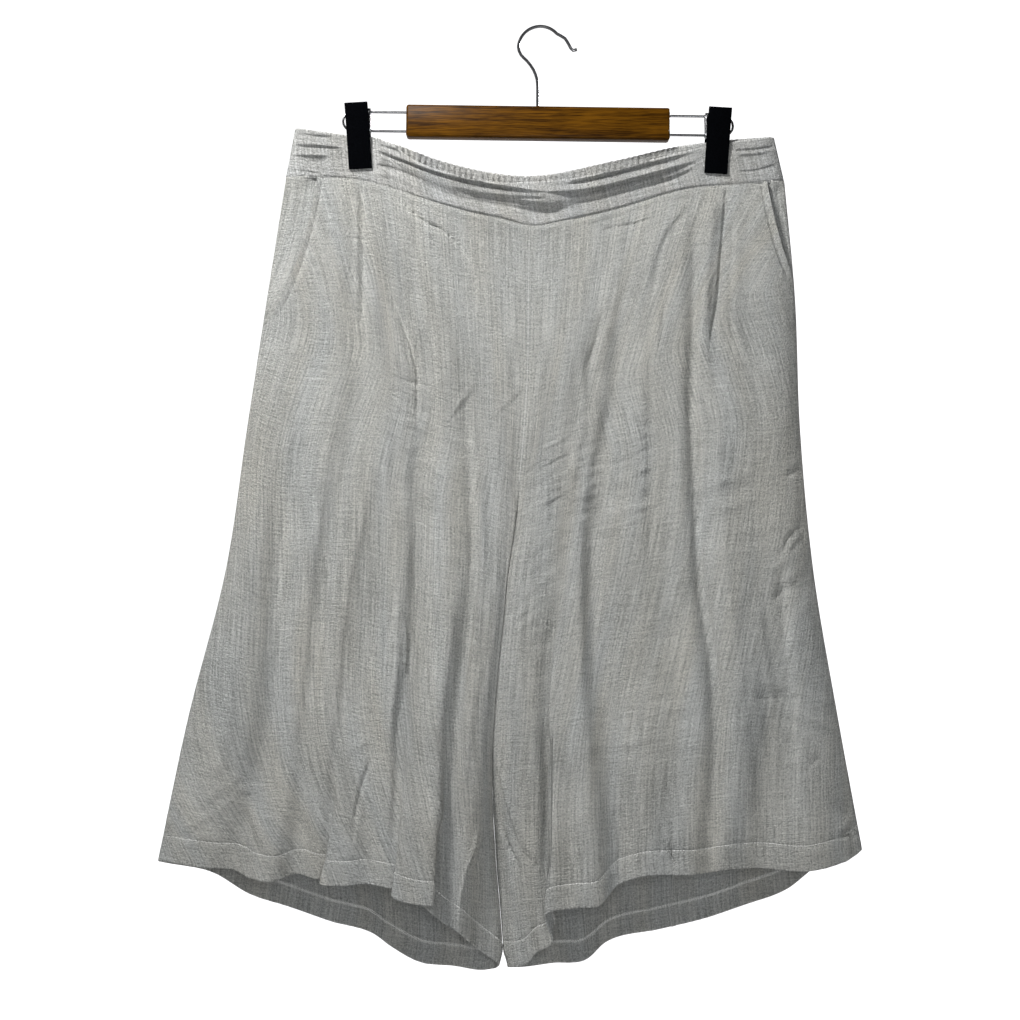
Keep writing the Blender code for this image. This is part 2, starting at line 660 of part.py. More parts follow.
def box_mesh(name, size):
    sheet = bmesh.new()
    bmesh.ops.create_cube(sheet, size=1.0)
    bmesh.ops.scale(sheet, vec=Vector(size) * MM, verts=sheet.verts)
    data = bpy.data.meshes.new(name)
    sheet.to_mesh(data)
    sheet.free()
    return data


def drill(target, name, radius, depth, matrix):
    """Cuts a round blind hole along the local Z of matrix."""
    sheet = bmesh.new()
    bmesh.ops.create_cone(
        sheet, cap_ends=True, segments=16, radius1=radius * MM, radius2=radius * MM, depth=depth * MM
    )
    data = bpy.data.meshes.new(name)
    sheet.to_mesh(data)
    sheet.free()
    cutter = bpy.data.objects.new(name, data)
    bpy.context.scene.collection.objects.link(cutter)
    cutter.matrix_world = matrix
    cutter.hide_render = True
    cutter.display_type = "WIRE"
    cut = target.modifiers.new(name, "BOOLEAN")
    cut.operation = "DIFFERENCE"
    cut.solver = "EXACT"
    cut.object = cutter


def hanger_bar():
    frame = hanger_frame()
    bar = add_object("hanger_bar", box_mesh("hanger_bar", BAR_SIZE), "wood")
    bar.matrix_world = frame
    rounding = bar.modifiers.new("rounding", "BEVEL")
    rounding.width = BAR_ROUND * MM
    rounding.segments = 2
    hole = RAIL_RADIUS + RAIL_CLEARANCE
    for end in (-1, 1):
        for height in (-1, 1):
            place = Vector((end * BAR_SIZE[0] / 2, 0.0, height * RAIL_SPACING / 2)) * MM
            matrix = frame @ Matrix.Translation(place) @ Matrix.Rotation(math.pi / 2, 4, "Y")
            drill(bar, f"rail_hole_{end}_{height}", hole, 2 * RAIL_INSERT, matrix)
    top = Vector((HOOK_SHANK[0][0], 0.0, -(BAR_CENTRE[1] - BAR_SIZE[2] / 2))) * MM
    drill(bar, "hook_hole", HOOK_RADIUS + RAIL_CLEARANCE, 2 * HOOK_INSERT, Matrix.Translation(top))


def wire(name, points, radius, material, closed=False, sides=3):
    """A round wire along points in metres."""
    data = bpy.data.curves.new(name, "CURVE")
    data.dimensions = "3D"
    data.bevel_depth = radius * MM
    data.bevel_resolution = sides
    data.use_fill_caps = True
    spline = data.splines.new("POLY")
    spline.points.add(len(points) - 1)
    for knot, point in zip(spline.points, points):
        knot.co = (*point, 1.0)
    spline.use_cyclic_u = closed
    return add_object(name, data, material)


def rail(name, end):
    """A hairpin of wire: two rods out of the bar's end, joined by a round bend."""
    frame = hanger_frame()
    half = RAIL_SPACING / 2
    inside = BAR_SIZE[0] / 2 - RAIL_INSERT + 1.0
    straight = RAIL_REACH - half
    path = [(inside, half)]
    for i in range(9):
        angle = math.pi / 2 - math.pi * i / 8
        path.append((straight + half * math.cos(angle), half * math.sin(angle)))
    path.append((inside, -half))
    points = [frame @ (Vector((end * along, 0.0, height)) * MM) for along, height in path]
    wire(name, points, RAIL_RADIUS, "steel")


def hook():
    shank = [Vector((x, z)) for x, z in HOOK_SHANK]
    shank[0].y = BAR_CENTRE[1] - BAR_SIZE[2] / 2 + HOOK_INSERT - 1.0
    arc = []
    for i in range(HOOK_ARC_STEPS + 1):
        angle = HOOK_ARC_FROM + (HOOK_ARC_TO - HOOK_ARC_FROM) * i / HOOK_ARC_STEPS
        arc.append(
            Vector((
                HOOK_CENTRE[0] + HOOK_ARC_RADIUS * math.cos(angle),
                HOOK_CENTRE[1] - HOOK_ARC_RADIUS * math.sin(angle),
            ))
        )
    knots = shank + arc + [Vector(point) for point in HOOK_TIP]
    curve = Section([Vector((point.x, point.y, 0.0)) for point in knots])
    path = [knots[0]] + [curve.at(1 + i / 2) for i in range(2 * (len(knots) - 2) + 1)]
    points = [Vector((point.x, 0.0, -point.y)) * MM for point in path]
    wire("hook", points, HOOK_RADIUS, "steel", sides=3)


def clip_frame(end):
    """Local frame of a clip: z up along its length, origin at the middle of its top edge."""
    lean = Matrix.Rotation(end * CLIP_LEAN, 4, "Y")
    along = hanger_frame() @ Vector((end * (CLIP_OFFSET + 2.5) * MM, 0.0, 0.0))
    top = Vector((along.x, 0.0, -CLIP_TOP * MM + (along.z + BAR_CENTRE[1] * MM)))
    return Matrix.Translation(top) @ lean


def clip_jaw(name, end, side):
    """One bent plate: splayed at the top to be pressed, closed on the cloth at the bottom."""
    # Fore of the plate's inner face against distance down it
    profile = (
        (0.0, 8.6), (12.0, 6.6), (22.0, 5.4), (34.0, 4.9), (46.0, CLIP_GRIP), (CLIP_HEIGHT, CLIP_GRIP),
    )
    sheet = bmesh.new()
    outline = [Vector((0.0, -side * fore, -down)) for down, fore in profile]
    outline += [Vector((0.0, -side * (fore + CLIP_PLATE), -down)) for down, fore in reversed(profile)]
    half = Vector((CLIP_WIDTH / 2, 0.0, 0.0))
    ends = [[sheet.verts.new((point + shift) * MM) for point in outline] for shift in (-half, half)]
    count = len(profile)
    for ring in ends:
        for i in range(count - 1):
            sheet.faces.new((ring[i], ring[i + 1], ring[2 * count - 2 - i], ring[2 * count - 1 - i]))
    for i in range(2 * count):
        following = (i + 1) % (2 * count)
        sheet.faces.new((ends[0][i], ends[0][following], ends[1][following], ends[1][i]))
    jaw = mesh_object(name, sheet, "clip_black")
    jaw.matrix_world = clip_frame(end)


def clip_slider(name, end):
    """A ring of wire between the jaws that runs along both rods."""
    rod = hanger_frame() @ (Vector((end * (CLIP_OFFSET - SLIDER_INSET), 0.0, 0.0)) * MM)
    half_height = RAIL_SPACING / 2 + RAIL_RADIUS + SLIDER_RADIUS + 0.4
    points = []
    for i in range(16):
        angle = 2 * math.pi * i / 16
        lobe = Vector((0.0, math.cos(angle), math.sin(angle)))
        depth = SLIDER_DEPTH * max(-1.0, min(1.0, 1.35 * lobe.y))
        height = half_height * max(-1.0, min(1.0, 1.2 * lobe.z))
        points.append(rod + Vector((0.0, depth, height)) * MM)
    wire(name, points, SLIDER_RADIUS, "steel", closed=True, sides=2)


def build():
    for thing in list(bpy.data.objects):
        bpy.data.objects.remove(thing)

    hanger_bar()
    hook()
    for side_name, end in (("left", -1), ("right", 1)):
        rail(f"rail_{side_name}", end)
        clip_jaw(f"clip_{side_name}_front", end, 1)
        clip_jaw(f"clip_{side_name}_back", end, -1)
        clip_slider(f"clip_{side_name}_slider", end)

    for name, lines, pocket, inward in (
        ("front_left", FRONT_LEFT, POCKET_LEFT, 1),
        ("front_right", FRONT_RIGHT, POCKET_RIGHT, -1),
    ):
        columns = COLUMNS_PER_FOLD * (len(lines) - 1)
        panel(name, lines, FRONT_SEAM, 1, inward, FRONT_ROWS, columns, pocket=pocket)
    panel("back_left", BACK_LEFT, BACK_SEAM, -1, 1, BACK_ROWS, BACK_COLUMNS, gathers=1)
    panel("back_right", BACK_RIGHT, BACK_SEAM, -1, -1, BACK_ROWS, BACK_COLUMNS, gathers=1)
    pocket_facing("pocket_facing_left", FRONT_LEFT, POCKET_LEFT, 1)
    pocket_facing("pocket_facing_right", FRONT_RIGHT, POCKET_RIGHT, -1)
    waistband("waistband_front", FRONT_TOP, FRONT_SEAM, 1, BAND_COLUMNS, BAND_ROWS, 1.0)
    waistband("waistband_back", BACK_TOP, BACK_SEAM, -1, 2 * BACK_GATHERS, BACK_BAND_ROWS, 0.0, gathers=1)


build()
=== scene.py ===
"""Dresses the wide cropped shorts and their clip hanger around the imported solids.

Cloth is laid out again from the fold lines of the solids, a few of them moved or made shallower,
with more points, so that it can carry creases, crinkle and sewing. Its tables are in millimetres:
  across  distance to the right of the hook
  drop    distance below the hook
  fore    distance in front of the plane of the side seams, negative behind it
Across and drop are read on that plane from VIEW_DISTANCE in front of it, so cloth that stands
nearer is drawn in towards the line of sight. Everything else is in metres.
"""

import json
import math
from collections import namedtuple

import bmesh
import bpy
import numpy as np
from bpy.props import FloatProperty, FloatVectorProperty, IntProperty, PointerProperty
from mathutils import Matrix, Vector, noise


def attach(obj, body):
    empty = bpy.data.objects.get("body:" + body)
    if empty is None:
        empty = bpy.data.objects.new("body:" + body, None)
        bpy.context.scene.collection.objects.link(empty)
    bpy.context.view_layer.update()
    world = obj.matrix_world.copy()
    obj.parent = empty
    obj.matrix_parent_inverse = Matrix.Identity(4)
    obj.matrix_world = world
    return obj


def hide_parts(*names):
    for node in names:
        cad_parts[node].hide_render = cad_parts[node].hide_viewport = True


bl_info = {
    "name": "Cropped shorts on a clip hanger",
    "version": (1, 0, 0),
    "blender": (4, 5, 0),
    "location": "View3D > Sidebar > Shorts",
    "description": "Builds the cloth, sewing, hanger finishes and stage around the packed solids",
    "category": "Object",
}

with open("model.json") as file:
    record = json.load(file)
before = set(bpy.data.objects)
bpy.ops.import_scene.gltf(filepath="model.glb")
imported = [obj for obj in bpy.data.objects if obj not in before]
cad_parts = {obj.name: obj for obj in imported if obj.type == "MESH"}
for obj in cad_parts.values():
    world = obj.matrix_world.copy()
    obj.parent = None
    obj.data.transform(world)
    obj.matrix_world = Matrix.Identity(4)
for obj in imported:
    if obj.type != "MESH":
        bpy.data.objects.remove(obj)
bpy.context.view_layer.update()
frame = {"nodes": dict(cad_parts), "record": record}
BODY = "root"
MM = 0.001

# Sight line that the cloth tables are read along
VIEW_DISTANCE = 1150.0
VIEW_ACROSS = -30.0
VIEW_DROP = 482.0
PICTURE_WIDTH = 1020.0
SENSOR_WIDTH = 36.0

# Cloth, closer together at its seams than the solids
SEAM_GAP = 0.12
HEM_DEPTH = 24.0
HEM_STEP = 1.5
SEAM_EASE = 26.0
PLEAT_DEPTH = 2.6
PLEAT_END = 330.0
POCKET_ROWS = 5
FRONT_ROWS = (0, 0.09, 0.18, 0.27, 0.335, 0.37, 0.40, 0.43, 0.50, 0.58, 0.67, 0.77, 0.88, 1)
BACK_ROWS = (0, 0.12, 0.24, 0.33, 0.375, 0.405, 0.435, 0.53, 0.66, 0.82, 1)
BACK_GATHERS = 84
GATHER_HEIGHT = 0.7
PANEL_GATHERS = 18
PANEL_GATHER_HEIGHT = 2.6
PANEL_GATHER_FADE = 75.0
CROTCH_DROP = 482.0
CROTCH_BLEND_ABOVE = 30.0
CROTCH_BLEND_BELOW = 22.0
LEG_GAP = 0.15
LEG_SLANT = 0.22
LEG_SLANT_REACH = 16.0
HEM_FLICK = 5.0
SECTIONS = (150.0, 270.0, 400.0, 540.0, 690.0)
FOLD_SHARE = (0.30, 0.40, 0.55, 0.72, 0.90, 1.0)

FoldLine = namedtuple("FoldLine", "name hem across fore")
SIDE_LEFT = FoldLine("side seam", 832, (-254, -273, -293, -314, -352, -382), (0, 0, 0, 0, 0, 0))
SIDE_RIGHT = FoldLine("side seam", 821, (244, 255, 260, 273, 298, 322), (0, 0, 0, 0, 0, 0))

# Values against places along a smooth curve
Curve = namedtuple("Curve", "places values")
CENTRE = Curve(
    (150, 270, 354, 412, 459, 482, 507, 546, 592, 642, 710, 760, 830, 924, 941),
    (-10, -11.6, -13, -17, -21.2, -22.6, -26, -32, -36.6, -42, -47, -47.6, -44, -37, -36.6),
)

FRONT_LEFT = (
    SIDE_LEFT,
    FoldLine("side roll", 833, (-248, -266, -286, -307, -344, -374), (6, 8, 9, 9, 10, 10)),
    FoldLine("crest A", 839, (-222, -242, -264, -284, -294, -334), (9, 16, 22, 25, 27, 21)),
    FoldLine("trough A", 841, (-207, -222, -236, -256, -268, -306), (8, 14, 18, 17, 19, 18)),
    FoldLine("rise B", 849, (-202, -210, -218, -240, -256, -291), (9, 16, 22, 22, 22, 27)),
    FoldLine("crest B", 853, (-196, -201, -208, -228, -244, -272), (9, 17, 25, 26, 25, 34)),
    FoldLine("pleat furrow", 845, (-184, -183, -187, -212, -228, -243), (4, 10, 15, 18, 20, 22)),
    FoldLine("crest C", 850, (-170, -164, -160, -186, -208, -224), (10, 16, 25, 32, 34, 34)),
    FoldLine("tuck C", 851, (-156, -158, -152, -174, -196, -216), (9, 15, 24, 25, 32, 34)),
    FoldLine("edge D", 855, (-150, -153, -147, -166, -187, -220), (9, 15, 24, 26, 32, 44)),
    FoldLine("crest D", 857, (-144, -149, -143, -158, -178, -198), (10, 17, 25, 28, 33, 48)),
    FoldLine("dip D", 855, (-138, -145, -139, -152, -164, -174), (10, 17, 26, 31, 36, 41)),
    FoldLine("crest E", 859, (-132, -140, -134, -144, -149, -153), (10, 18, 27, 36, 45, 48)),
    FoldLine("tuck E", 861, (-120, -129, -119, -120, -134, -144), (9, 15, 20, 26, 40, 50)),
    FoldLine("edge F", 867, (-108, -110, -108, -112, -126, -148.5), (10, 17, 22, 26, 40, 58)),
    FoldLine("crest F", 875, (-92, -94, -94, -92, -111, -128), (10, 18, 27, 36, 44, 62)),
    FoldLine("edge G", 877, (-82, -85, -84, -80, -99, -106.5), (10, 17, 25, 34, 44, 60)),
    FoldLine("tuck G", 878, (-72, -76, -68, -62, -82, -115), (9, 14, 20, 27, 34, 40)),
    FoldLine("rise H", 893, (-60, -62, -56, -54, -74, -98), (9, 16, 22, 30, 38, 34)),
    FoldLine("crest H", 905, (-44, -46, -42, -44, -60, -80), (10, 17, 26, 35, 41, 38)),
    FoldLine("turn", 917, (-28, -28, -30, -35, -49.5, -66), (11, 18, 27, 30, 33, 22)),
    FoldLine("centre and inseam", 938, (), (12, 19, 27, 27, 27, 27)),
)

FRONT_RIGHT = (
    SIDE_RIGHT,
    FoldLine("side roll", 829, (238, 248, 253, 266, 291, 312), (6, 8, 9, 9, 10, 10)),
    FoldLine("crest A", 842, (222, 232, 236, 240, 256, 272), (10, 15, 18, 22, 26, 30)),
    FoldLine("trough A", 839, (208, 207, 218, 223, 232, 214), (8, 14, 19, 21, 20, 22)),
    FoldLine("crest B", 840, (193, 190, 184, 193, 210, 195), (11, 21, 26, 31, 33, 28)),
    FoldLine("pleat furrow", 841, (187, 178, 177, 186, 204, 187), (6, 10, 26, 32, 34, 31)),
    FoldLine("crest C", 842, (175, 167, 171, 179, 197, 179), (11, 18, 26, 31, 33, 32)),
    FoldLine("trough C", 843, (160, 154, 156, 162, 178, 171), (7, 9, 14, 19, 24, 27)),
    FoldLine("crest D", 846, (148, 140, 140, 146, 160, 152), (11, 19, 25, 29, 33, 34)),
    FoldLine("trough D", 846, (132, 124, 122, 124, 140, 128), (10, 16, 20, 26, 30, 33)),
    FoldLine("crest E", 847, (116, 108, 102, 100, 108, 106), (11, 18, 26, 33, 37, 35)),
    FoldLine("trough E", 855, (96, 82, 72, 54, 67, 80), (10, 15, 19, 21, 26, 29)),
    FoldLine("crest F", 878, (86, 72, 53, 38, 42, 56), (11, 20, 28, 34, 42, 50)),
    FoldLine("dip F", 879, (74, 60, 42, 30, 26, 36), (10, 15, 25, 33, 40, 49)),
    FoldLine("edge G", 886, (60, 48, 32, 22, 7.5, 5.5), (11, 19, 27, 33, 39, 50)),
    FoldLine("tuck G", 917, (50, 40, 22, 14, 12, 10), (11, 19, 27, 30, 28, 31)),
    FoldLine("crest G", 923, (32, 26, 6, -4, -8, -3), (11, 19, 28, 34, 36, 30)),
    FoldLine("turn", 934, (12, 8, -2, -28, -43, -12), (11, 19, 28, 31, 32, 24)),
    FoldLine("centre and inseam", 938, (), (12, 19, 27, 27, 27, 27)),
)

BACK_LEFT = (
    SIDE_LEFT,
    FoldLine("side roll", 834, (-248, -266, -286, -307, -344, -372), (-6, -8, -9, -9, -10, -10)),
    FoldLine("crest A", 843, (-225, -240, -260, -282, -308, -328), (-12, -16, -22, -28, -28, -26)),
    FoldLine("trough A", 865, (-195, -210, -228, -250, -278, -290), (-10, -12, -14, -16, -17, -16)),
    FoldLine("crest B", 878, (-168, -180, -195, -215, -240, -250), (-12, -18, -26, -30, -33, -33)),
    FoldLine("trough B", 892, (-140, -150, -162, -178, -200, -210), (-12, -13, -14, -17, -19, -20)),
    FoldLine("crest C", 905, (-112, -120, -130, -140, -160, -166), (-13, -20, -28, -34, -38, -38)),
    FoldLine("edge D", 918, (-85, -92, -100, -110, -132, -148), (-13, -14, -16, -21, -27, -32)),
    FoldLine("crest D", 933, (-60, -62, -66, -78, -100, -120), (-14, -22, -28, -32, -32, -27)),
    FoldLine("trough D", 937, (-36, -38, -42, -56, -72, -85), (-14, -18, -22, -23, -22, -18)),
    FoldLine("turn", 941, (-22, -24, -28, -42, -55, -58), (-14, -20, -24, -14, -12, -8)),
    FoldLine("centre and inseam", 938, (), (-14, -20, -24, -24, -24, -24)),
)

BACK_RIGHT = (
    SIDE_RIGHT,
    FoldLine("side roll", 825, (238, 248, 253, 266, 291, 314), (-6, -8, -9, -9, -10, -10)),
    FoldLine("crest A", 834, (215, 225, 228, 242, 265, 282), (-12, -16, -22, -28, -28, -26)),
    FoldLine("trough A", 861, (188, 195, 200, 210, 228, 245), (-10, -12, -14, -16, -17, -16)),
    FoldLine("crest B", 876, (160, 165, 168, 175, 188, 204), (-12, -18, -26, -30, -33, -33)),
    FoldLine("trough B", 890, (132, 134, 136, 140, 150, 162), (-12, -13, -14, -17, -19, -20)),
    FoldLine("crest C", 900, (105, 105, 102, 105, 112, 120), (-13, -20, -28, -34, -38, -38)),
    FoldLine("edge D", 913, (78, 74, 66, 66, 72, 66), (-13, -14, -16, -21, -27, -32)),
    FoldLine("crest D", 931, (52, 45, 35, 35, 40, 45), (-14, -22, -28, -32, -32, -27)),
    FoldLine("trough D", 934, (22, 15, 8, 0, 5, 12), (-14, -18, -22, -23, -22, -18)),
    FoldLine("turn", 938, (4, 0, -4, -22, -34, -18), (-14, -20, -24, -14, -12, -8)),
    FoldLine("centre and inseam", 938, (), (-14, -20, -24, -24, -24, -24)),
)

Edge = namedtuple("Edge", "across drop")
FRONT_TOP = Edge(
    (-245, -190, -160, -125, -75, -10, 72, 150, 192, 234),
    (101, 109, 112, 133, 151, 155, 144, 123, 115, 110),
)
FRONT_SEAM = Edge(
    (-254, -181, -102, -67, -40, -9, 26, 72, 152, 187, 244),
    (149, 152, 175, 184.5, 190, 198, 192.5, 182, 160, 157, 153),
)
BACK_TOP = Edge(
    (-245, -190, -153, -101, -12, 75, 142, 192, 234),
    (101, 109, 115, 133.5, 149, 134, 119, 113, 110),
)
BACK_SEAM = Edge((-254, -181, -102, -10, 72, 152, 187, 244), (149, 153, 172, 190, 177, 159, 156, 153))

# How far the seams inside the legs stand forward, against their drop
INSEAM = Curve((452, 482, 600, 700, 770, 830, 941), (26, 27, 29, 29, 17, 7, 4))
# How far the bands bow out at their upper edge and at their seam, against across
Bow = namedtuple("Bow", "across top seam")
BOW = Bow(
    (-254, -250, -216, -196, -164, -120, -10, 98, 161, 193, 214, 240, 244),
    (0.3, 3.0, 4.0, 2.9, 2.9, 13, 22, 13, 2.9, 2.9, 4.0, 3.0, 0.3),
    (0.3, 3.4, 5.0, 3.0, 3.0, 11, 17, 11, 3.0, 3.0, 5.0, 3.4, 0.3),
)
# How far the front band stands out where it hangs slack, against the share of its depth
BAND_SLACK = Curve(
    (0.0, 0.12, 0.34, 0.55, 0.74, 0.90, 1.0),
    (0.0, 0.9, 1.7, 0.6, -1.4, 0.4, 0.0),
)
CLIP_ACROSS = (-180.0, 177.0)

# How far in from the side seam a pocket's edge starts, how far down it ends and how it bows
Pocket = namedtuple("Pocket", "inset length bow")
POCKET_LEFT = Pocket(31.0, 151.0, 2.0)
POCKET_RIGHT = Pocket(17.0, 96.0, 1.2)
POCKET_UNDERLAP = 11.0
FACING_STEP = 3.0

# Ridges, or furrows with a height below 0, that run along a seam or an edge at a distance from it
Ridge = namedtuple("Ridge", "height distance width")
WAIST_SEAM_GROOVE = Ridge(-1.5, 0.0, 2.0)
WAIST_SEAM_RIDGE = Ridge(0.9, 4.2, 2.2)
CENTRE_SEAM_GROOVE = Ridge(-0.8, 0.0, 2.0)
POCKET_EDGE_RIDGE = Ridge(1.6, 0.0, 2.6)
POCKET_STITCHING_GROOVE = Ridge(-1.3, 6.0, 1.5)
HEM_STITCHING_GROOVE = Ridge(-0.75, HEM_DEPTH, 1.3)
HEM_PUCKER = Ridge(0.9, HEM_DEPTH - 1.0, 6.0)
HEM_SWELLING = 0.35
HEM_FLICK_HEIGHT = 22.0

# Shares of the crease, crinkle and thickness settings that go to a kind of piece
BAND_CREASE_SHARE = 0.8
BAND_CRINKLE_SHARE = 0.8
FACING_CREASE_SHARE = 1.5
FACING_CRINKLE_SHARE = 1.4
FACING_THICKNESS_SHARE = 0.7

# Creases: points on a path, their reach in widths, and the shares of a path between which they
# have their full height
PATH_POINTS = 28
CREASE_REACH = 3.0
CREASE_FULL_FROM = 0.2
CREASE_FULL_TO = 0.7
# Ripples: their share of the crease setting, the height of a patch's waves, their length in
# pitches, and how faint a patch is where it ends
RIPPLE_SHARE = 1.3
RIPPLE_HEIGHT = 0.7
RIPPLE_LENGTH = 6.5
RIPPLE_LEAST = 0.02
# Distances below the waist seam over which the creases come in, and the facings fall behind
FADE_BELOW_SEAM = (-1.0, 9.0)
FACING_FADE = 14.0
# How much less slack the front band has to the right, all of it from this far right of the hook
BAND_TAUT = 0.75
BAND_TAUT_FROM = 60.0
# Depth of the bands, and the height of the back band's gathers against the solid's
BAND_HEIGHT = 50.0
RUFFLE_SHARE = 1.9
# How far apart the noises of two seeds are taken
NOISE_SEED_STEP = 7.31

# Sewing. Pitch and length are in metres, the overlock's height over the hem in millimetres.
STITCH_LENGTH_SHARE = 0.86
OVERLOCK_PITCH = 0.0019
OVERLOCK_LENGTH = 0.0046
OVERLOCK_SLANT = math.radians(58)
STITCH_UNEVENNESS = math.radians(5.0)
OVERLOCK_HEIGHT = HEM_DEPTH - 3.5

# Each light's place, aim, size and colour. Its power is a setting.
LIGHTS = {
    "key": ((-0.50, -0.60, 0.44), (0.12, 0.0, -0.32), 0.22, (1.0, 0.995, 0.98)),
    "fill": ((0.0, -1.0, -0.56), (0.0, 0.0, -0.60), 0.5, (0.985, 1.0, 1.0)),
    "rear": ((0.62, 0.80, 0.30), (-0.1, 0.0, -0.40), 0.3, (1.0, 1.0, 0.99)),
}
BACKDROP_HALF_WIDTH = 8.0
BACKDROP_TOP = 4.0

# How finely the cloth is laid out
ROW_BUNCHING = 1.12
FRONT_LEFT_COLUMNS_PER_FOLD = 14
FRONT_RIGHT_COLUMNS_PER_FOLD = 16
BACK_COLUMNS_PER_FOLD = 20
FRONT_FINE_ROWS = 236
BACK_FINE_ROWS = 156
HEM_ROWS = (1.2, 0.9, 0.6, 0.0, -0.8, -2.0, -4.0, -7.0, -10.0, -13.0, -16.0, -19.0, -21.5, -23.0, -24.0)
BAND_COLUMNS = 372
BAND_FINE_ROWS = 81
BACK_BAND_COLUMNS_PER_GATHER = 12
BACK_BAND_FINE_ROWS = 13
FACING_COLUMNS = 30
FACING_FINE_ROWS = 81

# Creases, each a height (below 0 for a furrow), how far it spreads to the left and to the right of
# its path, and the across and drop of each point of the path. Left is seen with the path going
# down, so it is below a path that goes to the right.
Crease = namedtuple("Crease", "height left right path")


def creases(*rows):
    return tuple(Crease(*row[:3], np.reshape(row[3:], (-1, 2)).astype(float)) for row in rows)


